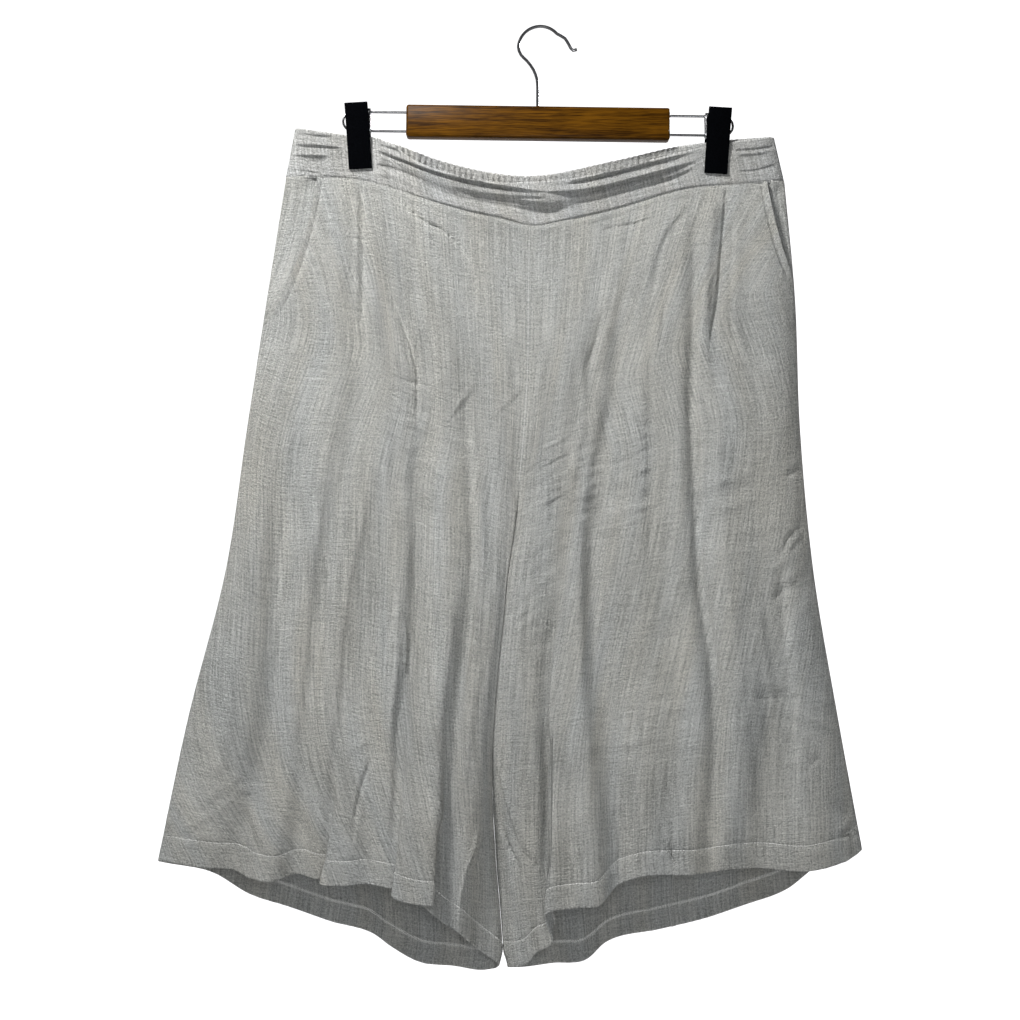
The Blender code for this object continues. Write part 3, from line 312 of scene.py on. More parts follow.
FRONT_LEFT_CREASES = creases(
    # along the folds
    (-0.91, 9.0, 7.0, -192, 352, -200, 400, -208, 442, -214, 502, -225, 562, -230, 622, -236, 682,
     -248, 760, -250, 810),
    (1.56, 7.0, 7.0, -187, 400, -190, 442, -198, 502, -205, 562, -212, 622, -220, 682, -228, 742,
     -230, 800),
    (-0.78, 6.0, 6.0, -167, 430, -175, 502, -187, 562, -194, 622, -198, 682, -208, 742, -214, 800),
    (1.43, 7.0, 5.0, -156, 370, -152, 442, -150, 502, -145, 562, -146, 622, -150, 682, -158, 742,
     -165, 800),
    (-0.78, 8.0, 8.0, -128, 400, -127, 442, -122, 502, -125, 562, -122, 622, -126, 670),
    (1.04, 6.0, 6.0, -131, 480, -135, 540, -139, 600, -146, 660, -149, 720),
    (-0.91, 4.0, 4.0, -141, 650, -143, 700, -143, 742, -146, 792, -148, 840),
    (0.91, 9.0, 9.0, -100, 380, -100, 442, -100, 502, -100, 562, -100, 622, -107, 682, -120, 742,
     -130, 800),
    (-1.04, 7.0, 6.0, -82, 330, -73, 392, -69, 442, -68, 502, -70, 562, -77, 622, -86, 682, -94, 742),
    (1.56, 8.0, 6.0, -84, 540, -92, 620, -100, 682, -104, 742, -104, 810, -106, 850),
    (2.6, 6.0, 5.0, -62, 420, -56, 502, -55, 562, -63, 622, -68, 682, -75, 742, -82, 800),
    (-1.69, 12.0, 10.0, -256, 300, -260, 382, -264, 442, -262, 502, -262, 562, -264, 622, -266, 682,
     -274, 742, -285, 792, -296, 836),
    (1.43, 7.0, 7.0, -287, 480, -296, 562, -305, 622, -312, 682, -322, 742, -343, 800),
    (-1.3, 5.0, 5.0, -312, 550, -322, 622, -326, 682, -347, 742, -358, 800),
    # beside the pleat
    (-1.5, 13.0, 24.0, -178, 210, -178, 262, -175, 316, -174, 362, -178, 400, -190, 440),
    (-1.3, 1.7, 1.5, -178, 144, -178, 200, -178, 262, -180, 318),
    (1.1, 3.4, 2.2, -184, 146, -183, 210, -183, 262, -184, 300),
    (-1.1, 9.0, 10.0, -114, 286, -112, 330, -110, 370, -110, 410, -112, 456),
    # drags from the waist
    (-1.72, 2.2, 1.6, -148, 162, -136, 176, -114, 194, -96, 203, -78, 222, -62, 248),
    (1.12, 5.0, 3.0, -144, 176, -126, 192, -106, 208, -86, 228),
    (-0.6, 2.5, 2.0, -82, 180, -66, 192, -50, 212, -40, 226),
    (-1.2, 1.5, 1.3, -158, 246, -148, 270, -139, 292, -131, 312, -125, 334, -121, 366),
    (0.9, 4.0, 3.0, -152, 276, -142, 304, -134, 336, -130, 360),
    (-0.68, 1.6, 2.2, -123, 306, -122.5, 340, -123, 380, -124, 408),
    (-0.45, 2.4, 1.6, -36, 268, -26, 290, -18, 308, -14, 322),
    # short ripples over the thigh
    (0.56, 2.0, 1.3, -164, 350, -150, 357, -133, 363, -116, 374),
    (-0.49, 1.5, 2.0, -160, 344, -140, 352, -116, 358, -94, 374),
    (0.63, 2.2, 1.4, -144, 374, -132, 382, -118, 391, -102, 400),
    (-0.49, 2.0, 1.6, -134, 384, -120, 396, -106, 404, -92, 410),
    (0.63, 2.0, 1.4, -128, 430, -110, 437, -98, 446, -88, 454),
    (-0.49, 1.8, 1.5, -126, 440, -108, 448, -94, 455),
    (0.56, 1.6, 1.4, -13, 354, -22, 364, -33, 375, -46, 387, -54, 396),
    (-0.35, 2.4, 1.6, -16, 362, -30, 378, -46, 394),
    (0.63, 4.0, 2.5, -60, 350, -78, 372, -92, 392),
    # small dents and drags lower down
    (0.9, 1.6, 1.4, -250, 494, -247, 512, -244, 530, -240, 548),
    (-0.8, 1.8, 1.5, -258, 500, -252, 520, -246, 542),
    (-1.6, 1.6, 1.5, -130, 584, -125, 604, -118, 628, -113, 652, -109, 690),
    (0.9, 2.0, 1.5, -137, 590, -135, 618, -136, 650),
    (-0.8, 2.0, 1.6, -330, 606, -318, 604, -306, 597),
    (-0.8, 2.2, 1.6, -354, 716, -344, 720, -334, 727, -326, 738),
    (0.8, 1.8, 1.4, -306, 758, -296, 760, -282, 764, -272, 772),
    (-1.4, 2.6, 2.0, -166, 726, -176, 752, -184, 786, -188, 816),
    (1.0, 2.2, 1.6, -168, 708, -182, 720, -196, 728),
    (-1.0, 1.8, 1.4, -136, 734, -128, 752, -120, 766, -110, 774),
    (-1.3, 2.4, 1.8, -296, 780, -290, 800, -280, 822, -272, 834),
    (1.0, 2.4, 1.8, -288, 786, -281, 808, -270, 828),
    (-0.9, 2.0, 1.6, -377, 800, -366, 806, -350, 808),
    (0.8, 2.2, 1.6, -378, 786, -364, 792, -348, 792),
    (1.3, 1.5, 1.3, -60, 796, -67, 822, -74, 842, -79, 870, -81, 900),
    (-1.0, 1.5, 1.2, -52, 800, -60, 828, -68, 856),
)

FRONT_RIGHT_CREASES = creases(
    # along the folds
    (-0.9, 6.0, 6.0, 20, 560, 14, 597, 8, 622, 6, 682, 8, 742),
    (-2.21, 6.0, 6.0, 6, 690, 8, 742, 8, 792, 7, 832, 6, 880),
    (-1.69, 11.0, 10.0, 26, 720, 28, 792, 30, 840, 30, 890),
    (-1.0, 8.0, 9.0, 80, 300, 78, 340, 74, 370, 66, 400, 56, 442, 49, 502, 51, 562, 51, 622, 53, 682,
     58, 742, 62, 800),
    (1.3, 5.0, 6.0, 42, 290, 40, 330, 44, 380, 34, 442, 28, 500),
    (-0.6, 4.4, 4.6, 60, 282, 57, 316, 53, 352),
    (1.17, 5.0, 5.0, 68, 290, 60, 325, 54, 352),
    (1.04, 8.0, 8.0, 82, 382, 76, 442, 74, 502, 66, 562, 66, 622, 74, 700),
    (-1.04, 7.4, 6.3, 112, 237, 110, 297, 110, 382, 111, 442, 110, 502, 110, 572),
    (-0.9, 5.0, 5.0, 154, 168, 155, 262, 153, 322, 151, 382, 154, 442, 157, 502, 160, 562, 170, 622,
     174, 682, 172, 760, 168, 832),
    (1.6, 3.6, 5.0, 164, 210, 164, 262, 162, 322, 162, 382, 165, 442, 168, 500),
    (1.56, 5.0, 8.0, 163, 470, 168, 540, 178, 600, 186, 650, 194, 700, 200, 760),
    (-0.65, 6.0, 5.0, 201, 560, 207, 622, 211, 682, 219, 742, 222, 800),
    (-2.73, 9.0, 7.0, 240, 520, 243, 580, 246, 640, 250, 700, 250, 760, 250, 810),
    (1.17, 6.0, 6.0, 216, 560, 223, 622, 234, 682, 238, 740),
    # beside the pleat
    (-1.3, 1.4, 1.8, 187, 146, 184, 190, 180, 234, 177, 270, 172, 300, 168, 330),
    (1.3, 2.2, 3.4, 190, 165, 187, 210, 184, 262, 180, 310, 176, 350),
    (-1.0, 3.0, 4.0, 193, 170, 190, 220, 189, 262, 192, 300, 195, 340),
    # drags from the waist
    (-0.9, 2.0, 1.6, 58, 203, 76, 199, 98, 195, 127, 186),
    (-1.0, 3.6, 3.0, 158, 168, 146, 184, 134, 198, 122, 222, 115, 256, 113, 286),
    (-0.9, 2.6, 2.2, 62, 282, 58, 306, 52, 326, 47, 342),
    (-0.6, 2.0, 2.0, 126, 270, 122, 300, 118, 336),
    # rising ripples over the thigh
    (-0.56, 1.7, 1.3, -8, 446, 4, 440, 18, 432, 38, 424),
    (0.49, 2.0, 1.4, -4, 424, 16, 414, 36, 402),
    (-0.49, 1.6, 1.3, 72, 402, 92, 400, 110, 397, 132, 388),
    (0.49, 1.8, 1.4, 66, 420, 90, 412, 112, 404, 130, 400),
    (-0.49, 1.6, 1.3, 70, 438, 88, 432, 106, 422, 124, 420),
    (0.42, 1.8, 1.3, 62, 458, 84, 452, 104, 440, 128, 432),
    (-0.49, 1.6, 1.4, 66, 482, 86, 472, 108, 466, 134, 452),
    (-0.42, 1.6, 1.3, 4, 480, 20, 470, 34, 464),
    (0.42, 1.6, 1.4, 64, 504, 88, 494, 118, 484),
    (-0.42, 1.6, 1.4, 60, 524, 84, 512, 112, 506, 138, 500),
    (-0.42, 1.6, 1.4, -22, 520, -4, 508, 12, 504),
    (-0.35, 1.6, 1.4, 70, 560, 100, 552, 132, 552),
    (-0.42, 1.6, 1.4, 160, 470, 186, 466, 214, 458),
    # small dents and drags
    (1.0, 2.2, 1.5, 78, 722, 90, 716, 102, 711, 122, 709),
    (-0.9, 1.8, 1.4, 80, 728, 96, 722, 112, 717),
    (-1.6, 1.6, 1.5, 265, 497, 256, 502, 248, 510, 242, 522),
    (1.0, 2.0, 1.6, 262, 506, 252, 514, 244, 528),
    (-1.0, 2.0, 1.6, 262, 440, 252, 444, 244, 446),
    (-1.1, 2.6, 2.0, 262, 560, 250, 558, 238, 566, 230, 578),
    (-1.0, 2.2, 1.8, 252, 658, 240, 668, 226, 670, 210, 668),
    (-1.0, 1.8, 1.4, 280, 726, 270, 738, 258, 744),
    (1.0, 1.6, 1.4, 120, 752, 124, 758, 130, 768),
    (-1.8, 1.6, 1.4, 119, 806, 124, 812, 132, 826, 138, 846),
    (1.2, 1.4, 1.4, 124, 806, 130, 814, 138, 822),
    (-1.1, 1.8, 1.4, 226, 794, 232, 802, 238, 812),
    (-1.2, 1.8, 1.6, 316, 812, 308, 806, 300, 808),
    (1.0, 1.6, 1.5, 314, 790, 306, 796, 296, 806),
    # crease and ridge on the turned-back part below the crotch
    (-2.0, 1.2, 1.2, -41, 794, -36, 808, -29, 824, -22, 838, -16, 850),
    (2.0, 1.3, 1.4, -44, 718, -38, 748, -30, 780, -22, 804, -14, 820, 0, 834),
    (-1.2, 1.6, 1.2, -18, 822, -8, 832, 2, 836),
)

BACK_CREASES = creases(
    (-1.4, 3.4, 2.6, -206, 190, -190, 222, -168, 250, -150, 290),
    (-1.0, 2.4, 2.0, -110, 200, -96, 236, -74, 262, -56, 300),
    (0.9, 2.4, 2.0, -40, 236, -66, 270, -88, 320),
    (-1.1, 2.0, 1.8, -240, 330, -214, 344, -192, 372),
    (0.8, 2.2, 1.7, -164, 372, -140, 380, -112, 402),
    (-0.8, 1.8, 1.5, -160, 384, -132, 398, -106, 420),
    (-1.2, 1.8, 1.6, -30, 400, -50, 424, -84, 446),
    (1.0, 1.8, 1.6, -26, 420, -48, 442, -76, 458),
    (-1.2, 2.2, 1.8, -290, 520, -268, 530, -246, 556),
    (-1.3, 1.8, 1.6, -140, 560, -130, 600, -124, 660),
    (1.0, 2.2, 1.8, -226, 640, -206, 664, -190, 700),
    (-1.1, 2.0, 1.6, -330, 700, -306, 716, -288, 742),
    (-1.4, 2.2, 1.8, -180, 780, -170, 820, -156, 868),
    (-1.2, 2.0, 1.8, 92, 204, 112, 238, 126, 282),
    (-1.4, 3.2, 2.4, 206, 186, 190, 226, 168, 268),
    (0.9, 2.2, 1.8, 38, 230, 58, 276, 70, 330),
    (-1.0, 1.9, 1.6, 240, 360, 216, 372, 196, 398),
    (0.8, 1.8, 1.5, 150, 420, 120, 430, 96, 448),
    (-0.8, 1.8, 1.5, 146, 436, 116, 446, 90, 466),
    (-1.3, 2.0, 1.7, 110, 540, 102, 590, 104, 640),
    (-1.1, 2.0, 1.7, 262, 560, 240, 574, 222, 600),
    (1.0, 2.0, 1.7, 180, 660, 160, 690, 150, 724),
    (-1.4, 2.0, 1.7, 80, 800, 92, 836, 104, 872),
    (1.6, 1.8, 1.6, 96, 882, 116, 890, 138, 898),
    (-1.1, 2.0, 1.6, 290, 720, 270, 736, 252, 760),
)

FACING_CREASES = creases(
    (-1.0, 1.8, 1.3, -252, 160, -238, 163, -222, 164),
    (0.8, 1.8, 1.3, -253, 168, -240, 172, -224, 170),
    (-1.0, 1.8, 1.4, -256, 184, -242, 187, -228, 182),
    (0.9, 1.8, 1.4, -257, 196, -244, 194, -230, 191),
    (-0.9, 1.8, 1.4, -259, 208, -248, 206, -234, 208),
    (-1.0, 2.0, 1.5, -262, 232, -254, 226, -240, 216),
    (0.9, 2.4, 1.6, -264, 250, -256, 240, -246, 228),
    (-0.8, 2.0, 1.6, -267, 272, -262, 262, -256, 250),
    (-0.9, 1.8, 1.4, 236, 166, 243, 170, 248, 176),
    (0.8, 1.8, 1.4, 240, 184, 246, 190, 250, 198),
)

BAND_CREASES = creases(
    # ridges along the upper edge and the thin shadows under them, from the left clip
    (1.1, 1.5, 2.2, -176, 112, -150, 118, -128, 127, -110, 133.5, -70, 144, -30, 151, 0, 153),
    (-0.9, 1.4, 1.4, -172, 116, -150, 120.5, -110, 136, -70, 146.5, -30, 153),
    (2.4, 1.7, 2.8, -182, 115, -166, 120, -150, 126, -130, 133.5, -110, 141, -90, 147, -70, 151.5,
     -30, 158, 5, 162.5, 24, 162),
    (-1.8, 1.5, 1.3, -168, 122, -150, 128.5, -130, 136, -110, 143.5, -90, 149.5, -70, 154.5, -30, 161,
     0, 165),
    (1.2, 2.6, 2.4, -170, 127, -150, 132, -132, 139, -116, 146),
    (-1.4, 2.6, 2.0, -172, 136, -150, 140, -130, 147, -112, 155),
    (1.3, 3.0, 2.4, -174, 143, -150, 147, -128, 156, -108, 164),
    # the wide furrow across the middle
    (-2.8, 3.4, 7.0, -140, 148, -110, 158, -90, 166, -70, 171, -30, 178, 5, 183, 30, 179, 48, 175),
    (-1.2, 1.6, 2.4, 24, 178, 60, 171, 90, 163, 120, 155, 150, 146, 166, 141),
    (-1.4, 2.2, 2.6, -90, 158, -70, 166, -40, 171, -10, 176, 10, 178),
    (-1.0, 1.5, 1.6, -60, 167, -34, 169.5, -10, 170, 14, 172),
    # ridges along the upper edge towards the right clip
    (1.5, 1.6, 2.4, 16, 155.5, 36, 151.5, 60, 146.5, 90, 139, 120, 131.5, 150, 124, 166, 120),
    (-1.3, 1.5, 1.4, 20, 158.5, 60, 149, 90, 141.5, 120, 134, 150, 127),
    (2.4, 1.8, 2.8, -2, 162.5, 20, 162.5, 40, 161, 60, 157.5, 90, 150, 120, 142, 150, 133.5, 166, 129),
    (-1.0, 1.4, 1.3, 40, 164, 60, 161, 90, 153.5, 120, 144.5, 150, 136.5, 164, 132),
    (-1.0, 1.6, 1.4, 100, 157, 120, 153.5, 140, 147, 160, 139),
    # outside the clips
    (1.0, 1.8, 2.4, -258, 113, -245, 115, -220, 116.5, -204, 118, -190, 121),
    (-0.5, 2.0, 1.8, -256, 116.5, -244, 118.5, -220, 119.5, -204, 121, -190, 124),
    (-1.0, 1.6, 1.8, -250, 106, -220, 109, -200, 111),
    (-0.8, 4.0, 5.0, -256, 130, -232, 132, -214, 133, -198, 132),
    (0.9, 1.8, 1.6, -254, 125, -230, 126.5, -208, 127),
    (-0.8, 1.4, 1.4, -255, 142, -234, 144, -214, 147),
    (-1.3, 1.5, 1.4, 192, 123, 210, 122, 226, 120, 238, 118),
    (1.2, 1.8, 1.5, 194, 126, 212, 125, 230, 123),
    (-0.8, 1.5, 1.4, 194, 144, 214, 143, 232, 138, 242, 134),
    # the dent above the point of the seam
    (-1.6, 7.0, 6.0, -30, 184, -10, 187, 12, 186, 34, 182),
)

# Patches of fine parallel ripples: middle, reach, angle below the horizontal to the right,
# distance from ripple to ripple and height
Ripples = namedtuple("Ripples", "across drop reach_across reach_down angle pitch height")

FRONT_LEFT_RIPPLES = (
    Ripples(-128, 392, 52, 44, 24, 6.0, 0.6),
    Ripples(-75, 300, 50, 90, 62, 13.0, 0.7),
    Ripples(-60, 470, 36, 70, 40, 6.5, 0.5),
    Ripples(-112, 600, 40, 60, 70, 10.0, 0.8),
    Ripples(-232, 560, 40, 90, 84, 12.0, 0.6),
    Ripples(-345, 770, 30, 52, -32, 9.0, 1.2),
    Ripples(-352, 640, 18, 50, -24, 8.0, 0.8),
    Ripples(-262, 745, 50, 60, 58, 11.0, 0.9),
    Ripples(-176, 760, 44, 60, 66, 10.0, 0.9),
    Ripples(-96, 800, 30, 60, 72, 9.0, 0.8),
    Ripples(-28, 760, 22, 90, 80, 7.0, 0.7),
)
FRONT_RIGHT_RIPPLES = (
    Ripples(70, 486, 84, 70, -17, 6.0, 0.6),
    Ripples(20, 440, 40, 60, -30, 6.0, 0.5),
    Ripples(190, 470, 40, 80, -12, 9.0, 0.6),
    Ripples(120, 700, 90, 60, -6, 8.0, 0.6),
    Ripples(-14, 560, 24, 80, -38, 7.0, 0.7),
    Ripples(110, 250, 60, 60, 100, 14.0, 0.6),
    Ripples(250, 545, 24, 50, -40, 9.0, 1.0),
    Ripples(305, 780, 26, 46, 34, 8.0, 1.2),
    Ripples(262, 690, 40, 50, 20, 9.0, 0.8),
    Ripples(150, 790, 70, 44, 54, 10.0, 0.7),
    Ripples(-20, 800, 22, 70, 60, 8.0, 0.9),
)
BACK_RIPPLES = (
    Ripples(-150, 400, 90, 70, 20, 9.0, 0.9),
    Ripples(90, 430, 90, 70, -22, 9.0, 0.9),
    Ripples(-260, 640, 60, 90, 70, 12.0, 0.8),
    Ripples(200, 640, 60, 90, -70, 12.0, 0.8),
    Ripples(-150, 860, 120, 30, 10, 9.0, 0.8),
    Ripples(120, 860, 120, 30, -12, 9.0, 0.8),
)


# ---------------------------------------------------------------- settings

class ClothSettings(bpy.types.PropertyGroup):
    """Sizes and colours of the cloth and its sewing."""

    thickness: FloatProperty(
        name="Cloth thickness", description="Thickness of one layer of linen",
        default=0.0009, min=0.0003, max=0.0014, unit="LENGTH",
    )
    hem_thickness: FloatProperty(
        name="Hem thickness", description="Thickness where the hem is turned up",
        default=0.0019, min=0.0006, max=0.0024, unit="LENGTH",
    )
    band_thickness: FloatProperty(
        name="Waistband thickness", description="Thickness of the doubled waistband",
        default=0.0024, min=0.0008, max=0.0024, unit="LENGTH",
    )
    crease_depth: FloatProperty(
        name="Crease depth", description="How deep the creases are, as a share of the table's",
        default=2.4, min=0.0, max=4.0, subtype="FACTOR",
    )
    crinkle: FloatProperty(
        name="Crinkle", description="Height of the fine crinkle all over the cloth",
        default=0.00050, min=0.0, max=0.002, unit="LENGTH",
    )
    linen_colour: FloatVectorProperty(
        name="Linen colour", description="Colour of the legs and pocket facings",
        default=(0.735, 0.745, 0.715), min=0.0, max=1.0, size=3, subtype="COLOR",
    )
    band_colour: FloatVectorProperty(
        name="Waistband colour", description="Colour of the waistbands",
        default=(0.755, 0.765, 0.735), min=0.0, max=1.0, size=3, subtype="COLOR",
    )
    thread_colour: FloatVectorProperty(
        name="Thread colour", description="Colour of the sewing thread",
        default=(0.86, 0.855, 0.83), min=0.0, max=1.0, size=3, subtype="COLOR",
    )
    stitch_pitch: FloatProperty(
        name="Stitch pitch", description="Distance from one hem stitch to the next",
        default=0.0030, min=0.001, max=0.01, unit="LENGTH",
    )
    stitch_width: FloatProperty(
        name="Stitch width", description="Thickness of the sewing thread",
        default=0.00060, min=0.0001, max=0.002, unit="LENGTH",
    )
    seed: IntProperty(name="Seed", description="Seed of the crinkle and of the stitches", default=11)


class HangerSettings(bpy.types.PropertyGroup):
    """Colours and finish of the hanger."""

    wood_colour: FloatVectorProperty(
        name="Wood colour", description="Middle tone of the stained wood",
        default=(0.070, 0.028, 0.0015), min=0.0, max=1.0, size=3, subtype="COLOR",
    )
    grain_colour: FloatVectorProperty(
        name="Grain colour", description="Tone of the dark grain lines",
        default=(0.022, 0.008, 0.0008), min=0.0, max=1.0, size=3, subtype="COLOR",
    )
    steel_colour: FloatVectorProperty(
        name="Steel colour", description="Colour of the plated wire",
        default=(0.26, 0.26, 0.27), min=0.0, max=1.0, size=3, subtype="COLOR",
    )
    clip_colour: FloatVectorProperty(
        name="Clip colour", description="Colour of the moulded clips",
        default=(0.0007, 0.0008, 0.0011), min=0.0, max=1.0, size=3, subtype="COLOR",
    )


class StageSettings(bpy.types.PropertyGroup):
    """Camera, lights and backdrop."""

    key_power: FloatProperty(
        name="Key light", description="Power of the large soft light at the upper left",
        default=17.5, min=0.0, unit="POWER",
    )
    fill_power: FloatProperty(
        name="Fill light", description="Power of the wide soft light low in front",
        default=5.6, min=0.0, unit="POWER",
    )
    rear_power: FloatProperty(
        name="Rear light", description="Power of the soft light that shows the folds of the back",
        default=13.0, min=0.0, unit="POWER",
    )
    room_light: FloatProperty(
        name="Room light", description="Strength of the even light from all round",
        default=0.11, min=0.0, max=2.0,
    )
    backdrop_distance: FloatProperty(
        name="Backdrop distance", description="How far the backdrop stands behind the hanger",
        default=3.0, min=2.0, unit="LENGTH",
    )
    floor_drop: FloatProperty(
        name="Floor drop", description="How far the floor lies below the hook",
        default=2.7, min=1.5, unit="LENGTH",
    )


# ---------------------------------------------------------------- curves

def smooth(low, high, value):
    """0 below low, 1 above high, and an even turn between."""
    share = np.clip((value - low) / (high - low), 0.0, 1.0)
    return share * share * (3.0 - 2.0 * share)


def hermite(start, end, start_slope, end_slope, share):
    """A point of the cubic between start and end. Slopes are per unit of share."""
    square, cube = share * share, share * share * share
    return (
        start * (2 * cube - 3 * square + 1)
        + start_slope * (cube - 2 * square + share)
        + end * (3 * square - 2 * cube)
        + end_slope * (cube - square)
    )


def knot_slopes(gaps, rises):
    """Slopes at the knots along the first axis, following the shorter span more closely."""
    before, after = gaps[:-1], gaps[1:]
    middle = (rises[:-1] * after + rises[1:] * before) / (before + after)
    return np.concatenate((rises[:1], middle, rises[-1:]))


def graph(knots, values, at):
    """A smooth curve through values against knots, flat past its ends."""
    knots, values = np.asarray(knots, float), np.asarray(values, float)
    gaps = np.diff(knots)
    slopes = knot_slopes(gaps, np.diff(values) / gaps)
    at = np.clip(at, knots[0], knots[-1])
    i = np.clip(np.searchsorted(knots, at, side="right") - 1, 0, len(knots) - 2)
    return hermite(
        values[i], values[i + 1], slopes[i] * gaps[i], slopes[i + 1] * gaps[i], (at - knots[i]) / gaps[i]
    )


class Sections:
    """One smooth curve for each row, through the points where it cuts the fold lines."""

    def __init__(self, points, start, end):
        """points is [row, fold line, xyz]; start and end are unit directions, one for each row."""
        self.points = points
        self.chords = np.maximum(1e-6, np.linalg.norm(np.diff(points, axis=1), axis=2))
        gaps = self.chords.T[:, :, None]
        rises = np.diff(points, axis=1).transpose(1, 0, 2) / gaps
        self.slopes = knot_slopes(gaps, rises).transpose(1, 0, 2)
        self.slopes[:, 0] = start
        self.slopes[:, -1] = end

    def at(self, places):
        """Points at places [row, column], counted in fold lines."""
        i = np.clip(places.astype(int), 0, self.points.shape[1] - 2)
        row = np.arange(len(places))[:, None]
        chord = self.chords[row, i][..., None]
        return hermite(
            self.points[row, i], self.points[row, i + 1],
            self.slopes[row, i] * chord, self.slopes[row, i + 1] * chord, (places - i)[..., None],
        )


def placed(points):
    """Row frame metres of points given as (across, drop, fore)."""
    across, drop, fore = points[..., 0], points[..., 1], points[..., 2]
    draw_in = 1.0 - fore / VIEW_DISTANCE
    x = VIEW_ACROSS + (across - VIEW_ACROSS) * draw_in
    z = VIEW_DROP + (drop - VIEW_DROP) * draw_in
    return np.stack((x, -fore, -z), axis=-1) * MM


def unit(vectors):
    return vectors / np.maximum(1e-12, np.linalg.norm(vectors, axis=-1, keepdims=True))


def grid_normals(points, towards):
    """Unit normals of a grid, on the side that the vector towards points to."""
    normals = unit(np.cross(np.gradient(points, axis=1), np.gradient(points, axis=0)))
    middle = normals[:, normals.shape[1] // 3:2 * normals.shape[1] // 3].sum(axis=(0, 1))
    return normals if np.dot(middle, towards) > 0 else -normals


# ---------------------------------------------------------------- fold lines

def line_across(line, drop):
    if not line.across:
        return graph(*CENTRE, drop)
    return graph(SECTIONS + (line.hem,), line.across, drop)


def seam_drop(seam, across):
    return graph(*seam, across)


def seam_fore(across, side):
    return side * graph(BOW.across, BOW.seam, across)


def inseam_fore(drop):
    """How far the seams inside the legs stand in front of the side seams."""
    return graph(*INSEAM, drop)


def below_crotch(drop):
    """0 where left and right are sewn together down the centre, 1 where each leg is closed."""
    return smooth(CROTCH_DROP - CROTCH_BLEND_ABOVE, CROTCH_DROP + CROTCH_BLEND_BELOW, drop)


def line_top(line, seam):
    """Drop at which a fold line leaves the waist seam."""
    return seam_drop(seam, line.across[0] if line.across else CENTRE.values[0])


def coarse_rows(lines, seam, centre_rows, pocket):
    """The solid's rows down to the hem's stitching, as shares down the side and the centre."""
    side_length = lines[0].hem - line_top(lines[0], seam)
    centre_length = lines[-1].hem - line_top(lines[-1], seam)
    side_stitching = 1.0 - (HEM_DEPTH + HEM_STEP) / side_length
    centre_stitching = 1.0 - (HEM_DEPTH + HEM_STEP) / centre_length
    last = len(centre_rows) - 1
    sides = [side_stitching * i / last for i in range(last + 1)]
    if pocket:
        pocket_end = pocket.length / side_length
        below = last - POCKET_ROWS
        sides = [pocket_end * i / POCKET_ROWS for i in range(POCKET_ROWS)]
        sides += [pocket_end + (side_stitching - pocket_end) * i / below for i in range(below + 1)]
    return np.array(sides), np.array(centre_rows) * centre_stitching


def panel_rows(lines, seam, centre_rows, count, pocket):
    """Fine rows as shares down the side seam and down the centre, and their heights over the hem."""
    sides, centres = coarse_rows(lines, seam, centre_rows, pocket)
    at = (len(sides) - 1) * np.linspace(0, 1, count) ** ROW_BUNCHING
    knots = np.arange(len(sides))
    sides, centres = graph(knots, sides, at), graph(knots, centres, at)
    side_length = lines[0].hem - line_top(lines[0], seam)
    centre_length = lines[-1].hem - line_top(lines[-1], seam)
    hem = HEM_DEPTH + np.array(HEM_ROWS)
    sides = np.concatenate((sides, 1.0 - hem / side_length))
    centres = np.concatenate((centres, 1.0 - hem / centre_length))
    return sides, centres, (1.0 - sides) * side_length


def levels(lines, rows, seam, side, inward):
    """The sections of a panel at all its rows."""
    sides, centres = rows
    last = len(lines) - 1
    drops, across, fores, tops = [], [], [], []
    for i, line in enumerate(lines):
        top = line_top(line, seam)
        drop = top + (sides + (centres - sides) * i / last) * (line.hem - top)
        drops.append(drop)
        tops.append(top)
        across.append(line_across(line, drop))
        fores.append(graph(SECTIONS + (line.hem,), line.fore, drop))
    eased = [fore.copy() for fore in fores]
    for i, line in enumerate(lines):
        if 1 < i < last - 1:
            around = (fores[i - 1] + 2 * fores[i] + fores[i + 1]) / 4
            share = graph(SECTIONS + (line.hem,), FOLD_SHARE, drops[i])
            eased[i] = around + share * (fores[i] - around)
        if line.name == "pleat furrow":
            eased[i] = eased[i] - PLEAT_DEPTH * (1.0 - smooth(0.5 * PLEAT_END, PLEAT_END, drops[i]))
        if i == last:
            eased[i] = eased[i] + (inseam_fore(drops[i]) - eased[i]) * below_crotch(drops[i])
        sewn = 1.0 - smooth(0.0, SEAM_EASE, drops[i] - tops[i])
        eased[i] = eased[i] + (seam_fore(across[i], side) - eased[i]) * sewn
    points = np.stack((np.array(across), np.array(drops), np.array(eased)), axis=-1).transpose(1, 0, 2)
    closed = below_crotch(points[:, -1, 1])
    zeros = np.zeros_like(closed)
    start = np.stack((zeros, zeros, zeros + side), axis=-1)
    end = unit(np.stack((inward * (1.0 - 0.75 * closed), zeros, -side * closed), axis=-1))
    return Sections(points, start, end)


def pocket_edge(pocket, side_across, drop, top, inward):
    """Across of the pocket's edge, which meets the side seam at its lower end."""
    share = np.clip((drop - top) / pocket.length, 0.0, 1.0)
    return side_across + inward * pocket.inset * (1.0 - share ** pocket.bow)


def place_of_across(sections, across, inward, limit):
    """Where each section passes its given across, between its start and limit."""
    low, high = np.zeros_like(across), np.full_like(across, limit)
    for _ in range(30):
        middle = (low + high) / 2
        short = (sections.at(middle[:, None])[:, 0, 0] - across) * inward < 0
        low, high = np.where(short, middle, low), np.where(short, high, middle)
    return (low + high) / 2


